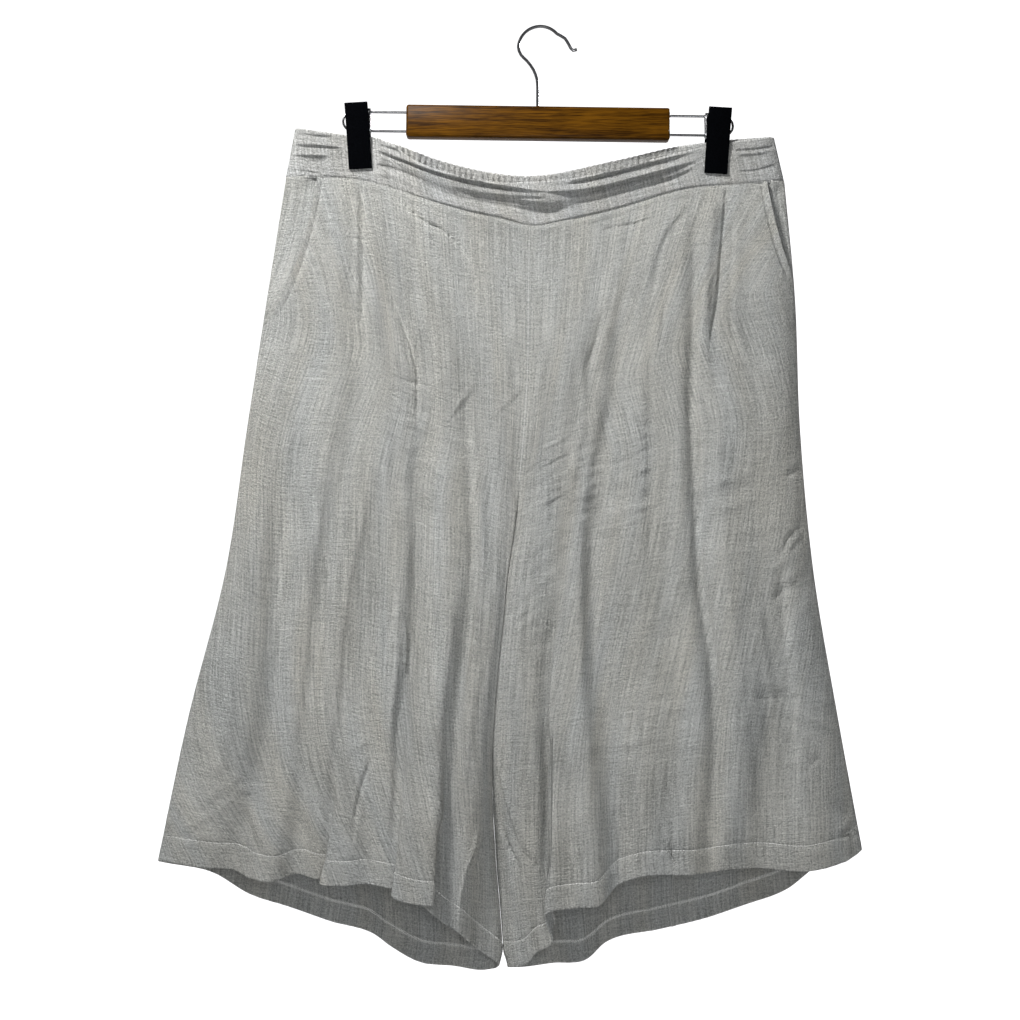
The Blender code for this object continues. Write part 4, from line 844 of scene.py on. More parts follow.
def lean_at_inseam(points):
    """Leans the meeting faces of the two legs, so that no straight gap is left between them."""
    across, drop, fore = points[..., 0], points[..., 1], points[..., 2]
    near = np.exp(-((across - graph(*CENTRE, drop)) / LEG_SLANT_REACH) ** 2)
    points[..., 0] = across + LEG_SLANT * (fore - inseam_fore(drop)) * below_crotch(drop) * near
    return points


def kept_to_leg(points, inward, hem):
    """Holds the points of one leg off the other leg."""
    across, drop, fore = points[..., 0], points[..., 1], points[..., 2]
    gap = LEG_GAP * below_crotch(drop) + HEM_FLICK * smooth(hem - HEM_FLICK_HEIGHT, hem, drop) ** 1.5
    slant = LEG_SLANT * (fore - inseam_fore(drop)) * below_crotch(drop)
    limit = graph(*CENTRE, drop) + slant - inward * gap
    points[..., 0] = inward * np.minimum(inward * across, inward * limit)
    return points


# ---------------------------------------------------------------- relief

def path_points(path):
    """A smooth curve through a path's points."""
    lengths = np.concatenate(([0.0], np.cumsum(np.linalg.norm(np.diff(path, axis=0), axis=1))))
    at = np.linspace(0.0, lengths[-1], PATH_POINTS)
    return np.stack((graph(lengths, path[:, 0], at), graph(lengths, path[:, 1], at)), axis=-1)


def ridge_height(ridge, distance):
    return ridge.height * np.exp(-((distance - ridge.distance) / ridge.width) ** 2)


def side_fade(cloth, reach):
    """0 at both sides of the cloth, and 1 from reach onwards."""
    from_first = cloth[:, :1, 0] - cloth[..., 0]
    return smooth(0.0, reach, cloth[..., 0]) * smooth(0.0, reach, from_first)


def crease_heights(points, creases):
    """Height of all the creases at each point of a grid of (across, drop, fore)."""
    flat = points[..., :2].reshape(-1, 2)
    heights = np.zeros(len(flat))
    for crease in creases:
        path = path_points(crease.path)
        reach = CREASE_REACH * max(crease.left, crease.right)
        near = np.all((flat > path.min(axis=0) - reach) & (flat < path.max(axis=0) + reach), axis=1)
        if not near.any():
            continue
        some = flat[near]
        start, run = path[:-1], np.diff(path, axis=0)
        offset = some[:, None] - start[None]
        share = np.clip((offset * run).sum(-1) / (run * run).sum(-1), 0.0, 1.0)
        gap = offset - share[..., None] * run
        distance = np.linalg.norm(gap, axis=-1)
        best = distance.argmin(axis=1)
        pick = np.arange(len(some))
        gap, distance = gap[pick, best], distance[pick, best]
        along = (best + share[pick, best]) / len(run)
        on_right = gap[:, 0] * run[best, 1] - gap[:, 1] * run[best, 0] > 0
        width = np.where(on_right, crease.right, crease.left)
        fade = smooth(0.0, CREASE_FULL_FROM, along) * (1.0 - smooth(CREASE_FULL_TO, 1.0, along))
        heights[near] += crease.height * fade * np.exp(-(distance / width) ** 2)
    return heights.reshape(points.shape[:-1])


def ripple_heights(points, patches, seed):
    """Height of the patches of ripples at each point of a grid of (across, drop, fore)."""
    heights = np.zeros(points.shape[:-1])
    for number, patch in enumerate(patches):
        across, drop = points[..., 0] - patch.across, points[..., 1] - patch.drop
        window = np.exp(-(across / patch.reach_across) ** 2 - (drop / patch.reach_down) ** 2)
        near = window > RIPPLE_LEAST
        angle = math.radians(patch.angle)
        along = across * math.cos(angle) + drop * math.sin(angle)
        over = drop * math.cos(angle) - across * math.sin(angle)
        cloth = np.stack((over, along), axis=-1)[near][None]
        wave = noise_heights(cloth, patch.pitch, RIPPLE_LENGTH * patch.pitch, seed + number)[0]
        height = RIPPLE_HEIGHT * patch.height * window[near]
        heights[near] += height * (wave + np.maximum(0.0, wave) ** 2)
    return heights


def lowest_near(heights, reach=2):
    """The lowest height within a few points of each point of a grid."""
    for axis in (0, 1):
        padded = np.pad(heights, [(reach, reach) if axis == k else (0, 0) for k in (0, 1)], mode="edge")
        count = heights.shape[axis]
        shifted = [np.take(padded, range(i, i + count), axis=axis) for i in range(2 * reach + 1)]
        heights = np.min(shifted, axis=0)
    return heights


def noise_heights(cloth, across_size, down_size, seed):
    """Smooth noise from -1 to 1 over cloth distances, with patches of the given sizes."""
    flat = cloth.reshape(-1, 2)
    depth = seed * NOISE_SEED_STEP
    values = [noise.noise(Vector((u / across_size, v / down_size, depth))) for u, v in flat]
    return np.array(values).reshape(cloth.shape[:-1])


def crinkle_heights(cloth, height, seed):
    """The crumpled surface of washed linen: drags down the leg, dents and a fine crepe."""
    calm = 0.55 + 0.45 * noise_heights(cloth, 70.0, 110.0, seed + 1)
    drags = noise_heights(cloth, 9.0, 75.0, seed + 2)
    dents = noise_heights(cloth, 16.0, 13.0, seed + 3)
    crepe = noise_heights(cloth, 4.2, 5.5, seed + 4)
    return height * (1.1 * calm * drags + 0.8 * calm * dents + 0.45 * crepe)


def cloth_distances(points):
    """Distance across the cloth from its last column and down it from its top, in millimetres."""
    steps = np.linalg.norm(np.diff(points, axis=1), axis=2)
    across = np.concatenate((np.zeros((len(points), 1)), np.cumsum(steps, axis=1)), axis=1)
    across = across[:, -1:] - across
    steps = np.linalg.norm(np.diff(points, axis=0), axis=2)
    down = np.concatenate((np.zeros((1, points.shape[1])), np.cumsum(steps, axis=0)))
    return np.stack((across, down), axis=-1)


# ---------------------------------------------------------------- meshes

def link(thing):
    bpy.context.scene.collection.objects.link(thing)
    return thing


def rounded_edge(outer, inner, beyond):
    """Three rows round the edge of a wall, from its outer side to its inner side."""
    centre = (outer + inner) / 2
    across = (outer - inner) / 2
    radius = np.linalg.norm(across, axis=-1, keepdims=True)
    turns = (math.pi / 4, math.pi / 2, 3 * math.pi / 4)
    return [centre + math.cos(turn) * across + math.sin(turn) * radius * beyond for turn in turns]


def solid_object(name, data, sheet, sharp_degrees, material):
    """The object of a closed surface, its faces turned outwards and smooth up to an angle."""
    bmesh.ops.recalc_face_normals(sheet, faces=sheet.faces)
    sheet.to_mesh(data)
    sheet.free()
    data.shade_smooth()
    data.set_sharp_from_angle(angle=math.radians(sharp_degrees))
    data.materials.append(material)
    return link(bpy.data.objects.new(name, data))


def shell(name, outer, inner, cloth, material):
    """A closed thin wall, rounded along its top and bottom, with half as many points inside."""
    below = rounded_edge(outer[-1], inner[-1], unit(outer[-1] - outer[-2]))
    above = rounded_edge(outer[0], inner[0], unit(outer[0] - outer[1]))
    fine = np.concatenate((np.array(above[::-1]), outer, np.array(below)))
    fine_cloth = np.concatenate((np.repeat(cloth[:1], 3, 0), cloth, np.repeat(cloth[-1:], 3, 0)))
    coarse, coarse_cloth = inner[::2, ::2], cloth[::2, ::2]
    rows, columns = fine.shape[:2]
    front = np.arange(rows * columns).reshape(rows, columns)
    behind = rows * columns + np.arange(coarse[..., 0].size).reshape(coarse.shape[:2])
    faces = []
    for grid in (front, behind):
        quads = np.stack((grid[:-1, :-1], grid[:-1, 1:], grid[1:, 1:], grid[1:, :-1]), axis=-1)
        faces += quads.reshape(-1, 4).tolist()
    body = front[3:-3]
    for edge, half in (
        (front[0], behind[0]), (front[-1], behind[-1]),
        (body[:, 0], behind[:, 0]), (body[:, -1], behind[:, -1]),
    ):
        joined = np.stack((edge[:-2:2], edge[1:-1:2], edge[2::2], half[1:], half[:-1]), axis=-1)
        faces += joined.tolist()
    for column, half in ((0, 0), (-1, -1)):
        faces.append([*front[:4, column].tolist(), int(behind[0, half])])
        faces.append([*front[-4:, column].tolist(), int(behind[-1, half])])
    places = np.concatenate((fine.reshape(-1, 3), coarse.reshape(-1, 3)))
    uv = np.concatenate((fine_cloth.reshape(-1, 2), coarse_cloth.reshape(-1, 2))) * MM
    data = bpy.data.meshes.new(name)
    data.from_pydata(places.tolist(), [], faces)
    layer = data.uv_layers.new(name="cloth")
    corners = np.zeros(len(data.loops), int)
    data.loops.foreach_get("vertex_index", corners)
    layer.data.foreach_set("uv", uv[corners].ravel())
    sheet = bmesh.new()
    sheet.from_mesh(data)
    return solid_object(name, data, sheet, 70, material)


def dress(piece, slot, *nodes):
    """Puts a finished piece in the place of the solids it stands for."""
    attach(piece, BODY)
    if nodes:
        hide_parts(*nodes)


# ---------------------------------------------------------------- sewing

def new_group(name, inputs):
    tree = bpy.data.node_groups.new(name, "GeometryNodeTree")
    tree.interface.new_socket("Geometry", in_out="INPUT", socket_type="NodeSocketGeometry")
    for socket, kind in inputs:
        tree.interface.new_socket(socket, in_out="INPUT", socket_type=kind)
    tree.interface.new_socket("Geometry", in_out="OUTPUT", socket_type="NodeSocketGeometry")
    return tree


def feed(tree, socket, value):
    """Gives an input a value or another node's socket."""
    if isinstance(value, bpy.types.NodeSocket):
        tree.links.new(value, socket)
    else:
        socket.default_value = value


def add_node(tree, kind, settings=(), **inputs):
    """A node with its settings, and with values or other nodes' sockets in its named inputs."""
    node = tree.nodes.new(kind)
    for name, value in dict(settings).items():
        setattr(node, name, value)
    for name, value in inputs.items():
        feed(tree, node.inputs[name.replace("_", " ")], value)
    return node


def stitch_tree():
    """Stitches laid along a path of edges: spindles of thread, turned from the path by a slant."""
    existing = bpy.data.node_groups.get("stitches along a path")
    if existing:
        return existing
    tree = new_group("stitches along a path", (
        ("Pitch", "NodeSocketFloat"),
        ("Length", "NodeSocketFloat"),
        ("Width", "NodeSocketFloat"),
        ("Slant", "NodeSocketFloat"),
        ("Unevenness", "NodeSocketFloat"),
        ("Seed", "NodeSocketInt"),
        ("Material", "NodeSocketMaterial"),
    ))
    given = tree.nodes.new("NodeGroupInput").outputs
    curve = add_node(tree, "GeometryNodeMeshToCurve", Mesh=given["Geometry"])
    points = add_node(
        tree, "GeometryNodeCurveToPoints", {"mode": "LENGTH"},
        Curve=curve.outputs[0], Length=given["Pitch"],
    )
    lift = add_node(
        tree, "GeometryNodeInputNamedAttribute", {"data_type": "FLOAT_VECTOR"}, Name="surface"
    )
    along = add_node(
        tree, "FunctionNodeAlignRotationToVector", {"axis": "Z"}, Vector=points.outputs["Tangent"]
    )
    facing = add_node(
        tree, "FunctionNodeAlignRotationToVector", {"axis": "X", "pivot_axis": "Z"},
        Rotation=along.outputs[0], Vector=lift.outputs["Attribute"],
    )
    jitter = add_node(tree, "FunctionNodeRandomValue", {"data_type": "FLOAT"}, Seed=given["Seed"])
    jitter.inputs[2].default_value = -1.0
    jitter.inputs[3].default_value = 1.0
    swing = add_node(tree, "ShaderNodeMath", {"operation": "MULTIPLY_ADD"})
    for socket, value in zip(swing.inputs, (jitter.outputs[1], given["Unevenness"], given["Slant"])):
        feed(tree, socket, value)
    turn = add_node(
        tree, "FunctionNodeAxisAngleToRotation", Axis=(1.0, 0.0, 0.0), Angle=swing.outputs[0]
    )
    slanted = add_node(
        tree, "FunctionNodeRotateRotation", {"rotation_space": "LOCAL"},
        Rotation=facing.outputs[0], Rotate_By=turn.outputs[0],
    )
    size = add_node(tree, "ShaderNodeCombineXYZ", X=given["Width"], Y=given["Width"], Z=given["Length"])
    spindle = add_node(tree, "GeometryNodeMeshUVSphere", Segments=6, Rings=5, Radius=0.5)
    placed_stitches = add_node(
        tree, "GeometryNodeInstanceOnPoints",
        Points=points.outputs[0], Instance=spindle.outputs[0],
        Rotation=slanted.outputs[0], Scale=size.outputs[0],
    )
    real = add_node(tree, "GeometryNodeRealizeInstances", Geometry=placed_stitches.outputs[0])
    even = add_node(tree, "GeometryNodeSetShadeSmooth", Geometry=real.outputs[0])
    coated = add_node(
        tree, "GeometryNodeSetMaterial", Geometry=even.outputs[0], Material=given["Material"]
    )
    tree.links.new(coated.outputs[0], tree.nodes.new("NodeGroupOutput").inputs[0])
    return tree


def stitched(name, paths, pitch, length, width, slant, seed):
    """A mesh of stitches along paths, each a list of points and of surface normals."""
    points, normals, edges = [], [], []
    for path, lift in paths:
        first = len(points)
        points += path.tolist()
        normals += lift.tolist()
        edges += [(first + i, first + i + 1) for i in range(len(path) - 1)]
    data = bpy.data.meshes.new(name)
    data.from_pydata(points, edges, [])
    surface = data.attributes.new("surface", "FLOAT_VECTOR", "POINT")
    surface.data.foreach_set("vector", np.array(normals).ravel())
    guide = link(bpy.data.objects.new(name + "_path", data))
    sewing = guide.modifiers.new("stitches", "NODES")
    sewing.node_group = stitch_tree()
    values = {
        "Pitch": pitch, "Length": length, "Width": width, "Slant": slant,
        "Unevenness": STITCH_UNEVENNESS, "Seed": seed, "Material": sewing_thread(),
    }
    for item in sewing.node_group.interface.items_tree:
        if item.in_out == "INPUT" and item.name in values:
            sewing[item.identifier] = values[item.name]
    evaluated = guide.evaluated_get(bpy.context.evaluated_depsgraph_get())
    result = bpy.data.meshes.new_from_object(evaluated)
    result.name = name
    bpy.data.objects.remove(guide)
    return link(bpy.data.objects.new(name, result))


# ---------------------------------------------------------------- materials

def new_material(name, colour, roughness, **inputs):
    """A material, its node tree and its shader, with values in the shader's named inputs."""
    material = bpy.data.materials.new(name)
    material.use_nodes = True
    material.diffuse_color = (*colour, 1.0)
    tree = material.node_tree
    shader = tree.nodes["Principled BSDF"]
    for socket, value in dict(inputs, Base_Color=(*colour, 1.0), Roughness=roughness).items():
        feed(tree, shader.inputs[socket.replace("_", " ")], value)
    return material, tree, shader


def finish_surface(tree, shader, height, bump_strength, bump_distance, colour=None):
    """Bumps a shader by a height and gives it a colour's socket."""
    bump = add_node(
        tree, "ShaderNodeBump", Strength=bump_strength, Distance=bump_distance, Height=height
    )
    feed(tree, shader.inputs["Normal"], bump.outputs[0])
    if colour:
        feed(tree, shader.inputs["Base Color"], colour)


def own_place(tree):
    """Coordinates in the piece's own metres."""
    return tree.nodes.new("ShaderNodeTexCoord").outputs["Object"]


def stretched_noise(tree, source, scale, detail=2.0, roughness=0.5):
    """Noise on coordinates that are scaled along each axis, which makes its patches smaller there."""
    mapping = add_node(tree, "ShaderNodeMapping", Vector=source, Scale=scale)
    pattern = add_node(
        tree, "ShaderNodeTexNoise", Vector=mapping.outputs[0],
        Scale=1.0, Detail=detail, Roughness=roughness,
    )
    return pattern.outputs[0]


def mathematics(tree, operation, first, second):
    node = add_node(tree, "ShaderNodeMath", {"operation": operation})
    for socket, value in zip(node.inputs, (first, second)):
        feed(tree, socket, value)
    return node.outputs[0]


def weighted_sum(tree, parts):
    """The sum of sockets, each with its weight."""
    total = None
    for socket, weight in parts:
        share = mathematics(tree, "MULTIPLY", socket, weight)
        total = share if total is None else mathematics(tree, "ADD", total, share)
    return total


def tinted(tree, factor, low, high, spread=0.2):
    """A colour between two, by a factor up to spread away from a half."""
    ramp = tree.nodes.new("ShaderNodeValToRGB")
    tree.links.new(factor, ramp.inputs[0])
    ramp.color_ramp.elements[0].position = 0.5 - spread
    ramp.color_ramp.elements[1].position = 0.5 + spread
    ramp.color_ramp.elements[0].color = (*low, 1.0)
    ramp.color_ramp.elements[1].color = (*high, 1.0)
    return ramp.outputs[0]


def scaled(colour, share):
    return tuple(min(1.0, channel * share) for channel in colour)


def linen_material(name, colour):
    """Plain weave with thick and thin yarns, slubs along the weft and a dry, slightly hairy face."""
    material, tree, shader = new_material(
        name, colour, 0.9, Sheen_Weight=0.12, Sheen_Roughness=0.6, Specular_IOR_Level=0.25
    )
    uv = add_node(tree, "ShaderNodeUVMap", {"uv_map": "cloth"}).outputs[0]
    weft = stretched_noise(tree, uv, (34.0, 420.0, 1.0), detail=3.0, roughness=0.6)
    warp = stretched_noise(tree, uv, (520.0, 16.0, 1.0), detail=3.0, roughness=0.6)
    slubs = stretched_noise(tree, uv, (60.0, 900.0, 1.0), detail=1.0)
    crepe = stretched_noise(tree, uv, (430.0, 520.0, 1.0), detail=4.0, roughness=0.65)
    clouds = stretched_noise(tree, uv, (14.0, 9.0, 1.0), detail=2.0)
    threads = []
    for direction, pitch in (("X", 0.00062), ("Y", 0.00070)):
        wave = add_node(
            tree, "ShaderNodeTexWave", {"bands_direction": direction}, Vector=uv,
            Scale=math.pi / (10.0 * pitch), Distortion=1.5, Detail=1.0,
        )
        threads.append((wave.outputs[1], 0.25))
    grain = stretched_noise(tree, uv, (820.0, 900.0, 1.0), detail=2.0, roughness=0.6)
    tone = weighted_sum(tree, ((weft, 0.13), (warp, 0.25), (crepe, 0.30), (grain, 0.24), (clouds, 0.08)))
    tone = tinted(tree, tone, scaled(colour, 0.50), scaled(colour, 1.36), 0.080)
    hue = stretched_noise(tree, uv, (30.0, 5.0, 1.0), detail=1.0)
    tint = tinted(tree, hue, (0.985, 1.0, 1.01), (1.02, 1.0, 0.955))
    dyed = add_node(tree, "ShaderNodeMix", {"data_type": "RGBA", "blend_type": "MULTIPLY"})
    for number, value in ((0, 1.0), (6, tone), (7, tint)):
        feed(tree, dyed.inputs[number], value)
    yarns = [(weft, 1.2), (warp, 1.0), (slubs, 0.6), (crepe, 3.0), (grain, 1.2)]
    finish_surface(tree, shader, weighted_sum(tree, yarns + threads), 1.0, 0.003, dyed.outputs[2])
    return material


def thread_material(name, colour):
    """Sewing thread with its twist."""
    material, tree, shader = new_material(name, colour, 0.75)
    twist = stretched_noise(tree, own_place(tree), (2600.0, 2600.0, 2600.0), detail=2.0)
    tone = tinted(tree, twist, scaled(colour, 0.85), scaled(colour, 1.08))
    finish_surface(tree, shader, twist, 0.5, 0.0002, tone)
    return material


def wood_material():
    """Stained wood with its grain along X, under a thin clear lacquer."""
    hanger = bpy.context.scene.shorts_hanger
    material, tree, shader = new_material(
        "stained wood", hanger.wood_colour, 0.38, Specular_IOR_Level=0.05
    )
    place = own_place(tree)
    rings = stretched_noise(tree, place, (8.0, 260.0, 260.0), detail=4.0, roughness=0.62)
    pores = stretched_noise(tree, place, (60.0, 1500.0, 1500.0), detail=2.0)
    clouds = stretched_noise(tree, place, (16.0, 30.0, 30.0), detail=3.0)
    tone = weighted_sum(tree, ((rings, 0.34), (pores, 0.42), (clouds, 0.24)))
    tone = tinted(tree, tone, hanger.grain_colour, scaled(hanger.wood_colour, 1.5), 0.09)
    height = weighted_sum(tree, ((pores, 0.7), (rings, 0.3)))
    finish_surface(tree, shader, height, 0.35, 0.0004, tone)
    return material


def steel_material():
    """Bright plated wire with faint drawing marks and haze."""
    colour = bpy.context.scene.shorts_hanger.steel_colour
    material, tree, shader = new_material("plated wire", colour, 0.22, Metallic=1.0)
    haze = stretched_noise(tree, own_place(tree), (240.0, 240.0, 240.0), detail=4.0)
    rough = add_node(tree, "ShaderNodeMapRange", Value=haze, To_Min=0.14, To_Max=0.36)
    feed(tree, shader.inputs["Roughness"], rough.outputs[0])
    finish_surface(tree, shader, haze, 0.15, 0.0002)
    return material


def clip_material():
    """Moulded black plastic with a fine spark-eroded grain."""
    colour = bpy.context.scene.shorts_hanger.clip_colour
    material, tree, shader = new_material(
        "grained black plastic", colour, 0.62, Specular_IOR_Level=0.002
    )
    grain = stretched_noise(
        tree, own_place(tree), (900.0, 900.0, 900.0), detail=3.0, roughness=0.7
    )
    tone = tinted(tree, grain, scaled(colour, 0.6), scaled(colour, 2.6))
    finish_surface(tree, shader, grain, 0.5, 0.0003, tone)
    return material


def shared(name, maker, colour):
    """A material made once and used by several pieces."""
    return bpy.data.materials.get(name) or maker(name, colour)


def leg_linen():
    return shared("slub linen", linen_material, bpy.context.scene.shorts_cloth.linen_colour)


def band_linen():
    return shared("waistband linen", linen_material, bpy.context.scene.shorts_cloth.band_colour)


def sewing_thread():
    return shared("sewing thread", thread_material, bpy.context.scene.shorts_cloth.thread_colour)


# ---------------------------------------------------------------- legs

def hem_relief(over_hem, cloth, seed):
    """Height of the turned-up hem: a groove at its stitching and a faint swelling below it."""
    pucker = noise_heights(cloth, 5.0, 12.0, seed + 21) * ridge_height(HEM_PUCKER, over_hem)
    swelling = HEM_SWELLING * smooth(HEM_DEPTH + 0.5, HEM_DEPTH - 3.0, over_hem)
    return ridge_height(HEM_STITCHING_GROOVE, over_hem) + swelling + pucker


Layout = namedtuple("Layout", "lines seam side inward centre_rows rows columns creases ripples pocket")
Grid = namedtuple("Grid", "outer inner normals cloth over_hem")


def gather_heights(layout, place, below_seam, cloth, seed):
    """The back's gathers below its waist seam, fading on the way down."""
    last = len(layout.lines) - 1
    turn = math.pi * place * 2 * PANEL_GATHERS / last
    fade = np.exp(-below_seam / PANEL_GATHER_FADE) * smooth(-1.0, 16.0, below_seam)
    uneven = 1.0 + 0.6 * noise_heights(cloth, 24.0, 60.0, seed + 5)
    fine = np.sin(2.3 * turn + 3.0 * noise_heights(cloth, 30.0, 60.0, seed + 6))
    fine_fade = np.exp(-below_seam / 22.0) * smooth(-1.0, 8.0, below_seam)
    return -PANEL_GATHER_HEIGHT * fade * uneven * np.cos(turn) + 0.7 * fine_fade * fine


def leg_grid(name, layout):
    """The points of one front or back, dressed with its creases."""
    settings = bpy.context.scene.shorts_cloth
    lines, seam, side, inward = layout.lines, layout.seam, layout.side, layout.inward
    seed = settings.seed + len(name)
    last = len(lines) - 1
    sides, centres, over_hem = panel_rows(lines, seam, layout.centre_rows, layout.rows, layout.pocket)
    sections = levels(lines, (sides, centres), seam, side, inward)
    place = np.repeat(np.linspace(0.0, last, layout.columns + 1)[None], len(sides), axis=0)
    open_edge = 0.0
    if layout.pocket:
        pocket, top = layout.pocket, line_top(lines[0], seam)
        drop = sections.points[:, 0, 1]
        edge = pocket_edge(pocket, sections.points[:, 0, 0], drop, top, inward)
        start = np.where(drop < top + pocket.length, place_of_across(sections, edge, inward, 2.5), 0.0)
        start = start[:, None]
        place = np.where(place < 3.0, start + place * (3.0 - start) / 3.0, place)
        open_edge = (1.0 - smooth(0.75, 1.0, (drop - top) / pocket.length))[:, None]
    points = sections.at(place)
    points[0, :, 1] = seam_drop(seam, points[0, :, 0])
    points[0, :, 2] = seam_fore(points[0, :, 0], side)
    points = kept_to_leg(lean_at_inseam(points), inward, lines[-1].hem)
    cloth = cloth_distances(points)
    normals = grid_normals(points, np.array((0.0, 0.0, float(side))))
    over_hem = over_hem[:, None]
    below_seam = points[..., 1] - seam_drop(seam, points[..., 0])
    heights = settings.crease_depth * (
        crease_heights(points, layout.creases)
        + RIPPLE_SHARE * ripple_heights(points, layout.ripples, seed)
    )
    heights += crinkle_heights(cloth, settings.crinkle / MM, seed)
    heights += hem_relief(over_hem, cloth, seed)
    heights *= smooth(*FADE_BELOW_SEAM, below_seam)
    if side < 0:
        heights += gather_heights(layout, place, below_seam, cloth, seed)
    heights += ridge_height(WAIST_SEAM_RIDGE, below_seam) + ridge_height(WAIST_SEAM_GROOVE, below_seam)
    from_centre, from_side = cloth[..., 0], cloth[:, :1, 0] - cloth[..., 0]
    joined = 1.0 - below_crotch(points[..., 1])
    heights += ridge_height(CENTRE_SEAM_GROOVE, from_centre) * joined
    heights *= 0.15 + 0.85 * smooth(0.0, 5.0, from_side) * smooth(-0.5, 4.0, from_centre)
    for ridge in (POCKET_EDGE_RIDGE, POCKET_STITCHING_GROOVE):
        heights += open_edge * ridge_height(ridge, from_side)
    turned_up = smooth(HEM_DEPTH - 1.5, HEM_DEPTH - 2.6, over_hem)
    thickness = settings.thickness + (settings.hem_thickness - settings.thickness) * turned_up
    sides_of_cloth = []
    for lift in (heights, lowest_near(heights) - thickness / MM):
        moved = kept_to_leg(points + normals * lift[..., None], inward, lines[-1].hem)
        held = side * np.maximum(side * moved[..., 2], SEAM_GAP / 2)
        moved[..., 2] = np.where(place < 1.5, held, moved[..., 2])
        moved[:, -1, 0] -= inward * SEAM_GAP / 2
        moved[0, :, 1] += SEAM_GAP / 2
        sides_of_cloth.append(placed(moved))
    outer, inner = sides_of_cloth
    normals = grid_normals(outer, np.array((0.0, -float(side), 0.0)))
    return Grid(outer, inner, normals, cloth, over_hem[:, 0])


def nearest_row(over_hem, height):
    return int(np.abs(over_hem - height).argmin())


def make_panel(name, layout):
    """One front or back with the stitching and the overlocked edge of its hem."""
    settings = bpy.context.scene.shorts_cloth
    grid = leg_grid(name, layout)
    piece = shell(name + "_cloth", grid.outer, grid.inner, grid.cloth, leg_linen())
    dress(piece, "linen", name)
    width = settings.stitch_width
    row = nearest_row(grid.over_hem, HEM_DEPTH)
    hem = stitched(
        name + "_hem_stitching",
        [(grid.outer[row] + grid.normals[row] * 0.15 * width, grid.normals[row])],
        settings.stitch_pitch, STITCH_LENGTH_SHARE * settings.stitch_pitch, width, 0.0, settings.seed,
    )
    dress(hem, "linen")
    row = nearest_row(grid.over_hem, OVERLOCK_HEIGHT)
    middle = grid.inner[row] - grid.normals[row] * 0.3 * width
    overlock = stitched(
        name + "_overlock", [(middle, -grid.normals[row])],
        OVERLOCK_PITCH, OVERLOCK_LENGTH, width, OVERLOCK_SLANT, settings.seed + 1,
    )
    dress(overlock, "linen")
    return piece, (hem, overlock)


# Cut of each piece: width and length of the cloth, and its area, in square metres
Cut = namedtuple("Cut", "width length area")


# ---------------------------------------------------------------- waistbands

def band_free(across):
    """0 under a clip, 1 elsewhere."""
    left, right = CLIP_ACROSS
    return np.minimum(smooth(13, 22, np.abs(across - left)), smooth(13, 22, np.abs(across - right)))


def band_slack(across):
    """1 where the band hangs slack, 0 where a clip pinches it or it turns at a side."""
    left, right = CLIP_ACROSS
    between = smooth(left + 18, left + 75, across) * (1 - smooth(right - 75, right - 18, across))
    outside = (1 - smooth(left - 38, left - 18, across)) * smooth(-250, -236, across)
    outside = outside + smooth(right + 18, right + 34, across) * (1 - smooth(226, 240, across))
    return between + 0.3 * outside


def band_grid(top_edge, seam, side, columns, rows):
    """Across, drop and fore of a band before its creases, with each row's share of its depth."""
    share = np.linspace(0.0, 1.0, rows)[:, None]
    left = top_edge.across[0] + share * (seam.across[0] - top_edge.across[0])
    right = top_edge.across[-1] + share * (seam.across[-1] - top_edge.across[-1])
    across = left + (right - left) * np.linspace(0.0, 1.0, columns + 1)[None]
    widened = across * np.where(across < 0, seam.across[0] / left, seam.across[-1] / right)
    top = seam_drop(top_edge, across)
    bottom = seam_drop(seam, across) - SEAM_GAP / 2
    bow_top, bow_seam = graph(BOW.across, BOW.top, widened), graph(BOW.across, BOW.seam, widened)
    fore = bow_top + share * (bow_seam - bow_top)
    return across, top + share * (bottom - top), fore, share


def band_shell(name, points, heights, behind, side, cloth):
    """The wall of a band whose faces stand heights and behind in front of its points."""
    faces = []
    for lift in (heights, behind):
        moved = points.copy()
        moved[..., 2] = side * np.maximum(side * moved[..., 2] + lift, SEAM_GAP)
        faces.append(placed(moved))
    return shell(name, *faces, cloth, band_linen())


def make_front_band():
    settings = bpy.context.scene.shorts_cloth
    across, drop, fore, share = band_grid(FRONT_TOP, FRONT_SEAM, 1, BAND_COLUMNS, BAND_FINE_ROWS)
    taut = BAND_TAUT * smooth(0.0, BAND_TAUT_FROM, across)
    slack = band_slack(across) * (1.0 - taut)
    fore = fore + slack * graph(*BAND_SLACK, share)
    points = np.stack((across, drop, fore), axis=-1)
    cloth = cloth_distances(points)
    free = band_free(across) * side_fade(cloth, 8.0)
    depth = BAND_CREASE_SHARE * settings.crease_depth
    heights = depth * crease_heights(points, BAND_CREASES) * free
    crinkle = BAND_CRINKLE_SHARE * settings.crinkle / MM
    heights = heights + free * crinkle_heights(cloth[..., ::-1], crinkle, settings.seed + 40)
    heights = heights + ridge_height(WAIST_SEAM_GROOVE, (1.0 - share) * BAND_HEIGHT)
    behind = lowest_near(heights) - settings.band_thickness / MM
    piece = band_shell("waistband_front_cloth", points, heights, behind, 1, cloth)
    dress(piece, "linen_band", "waistband_front")


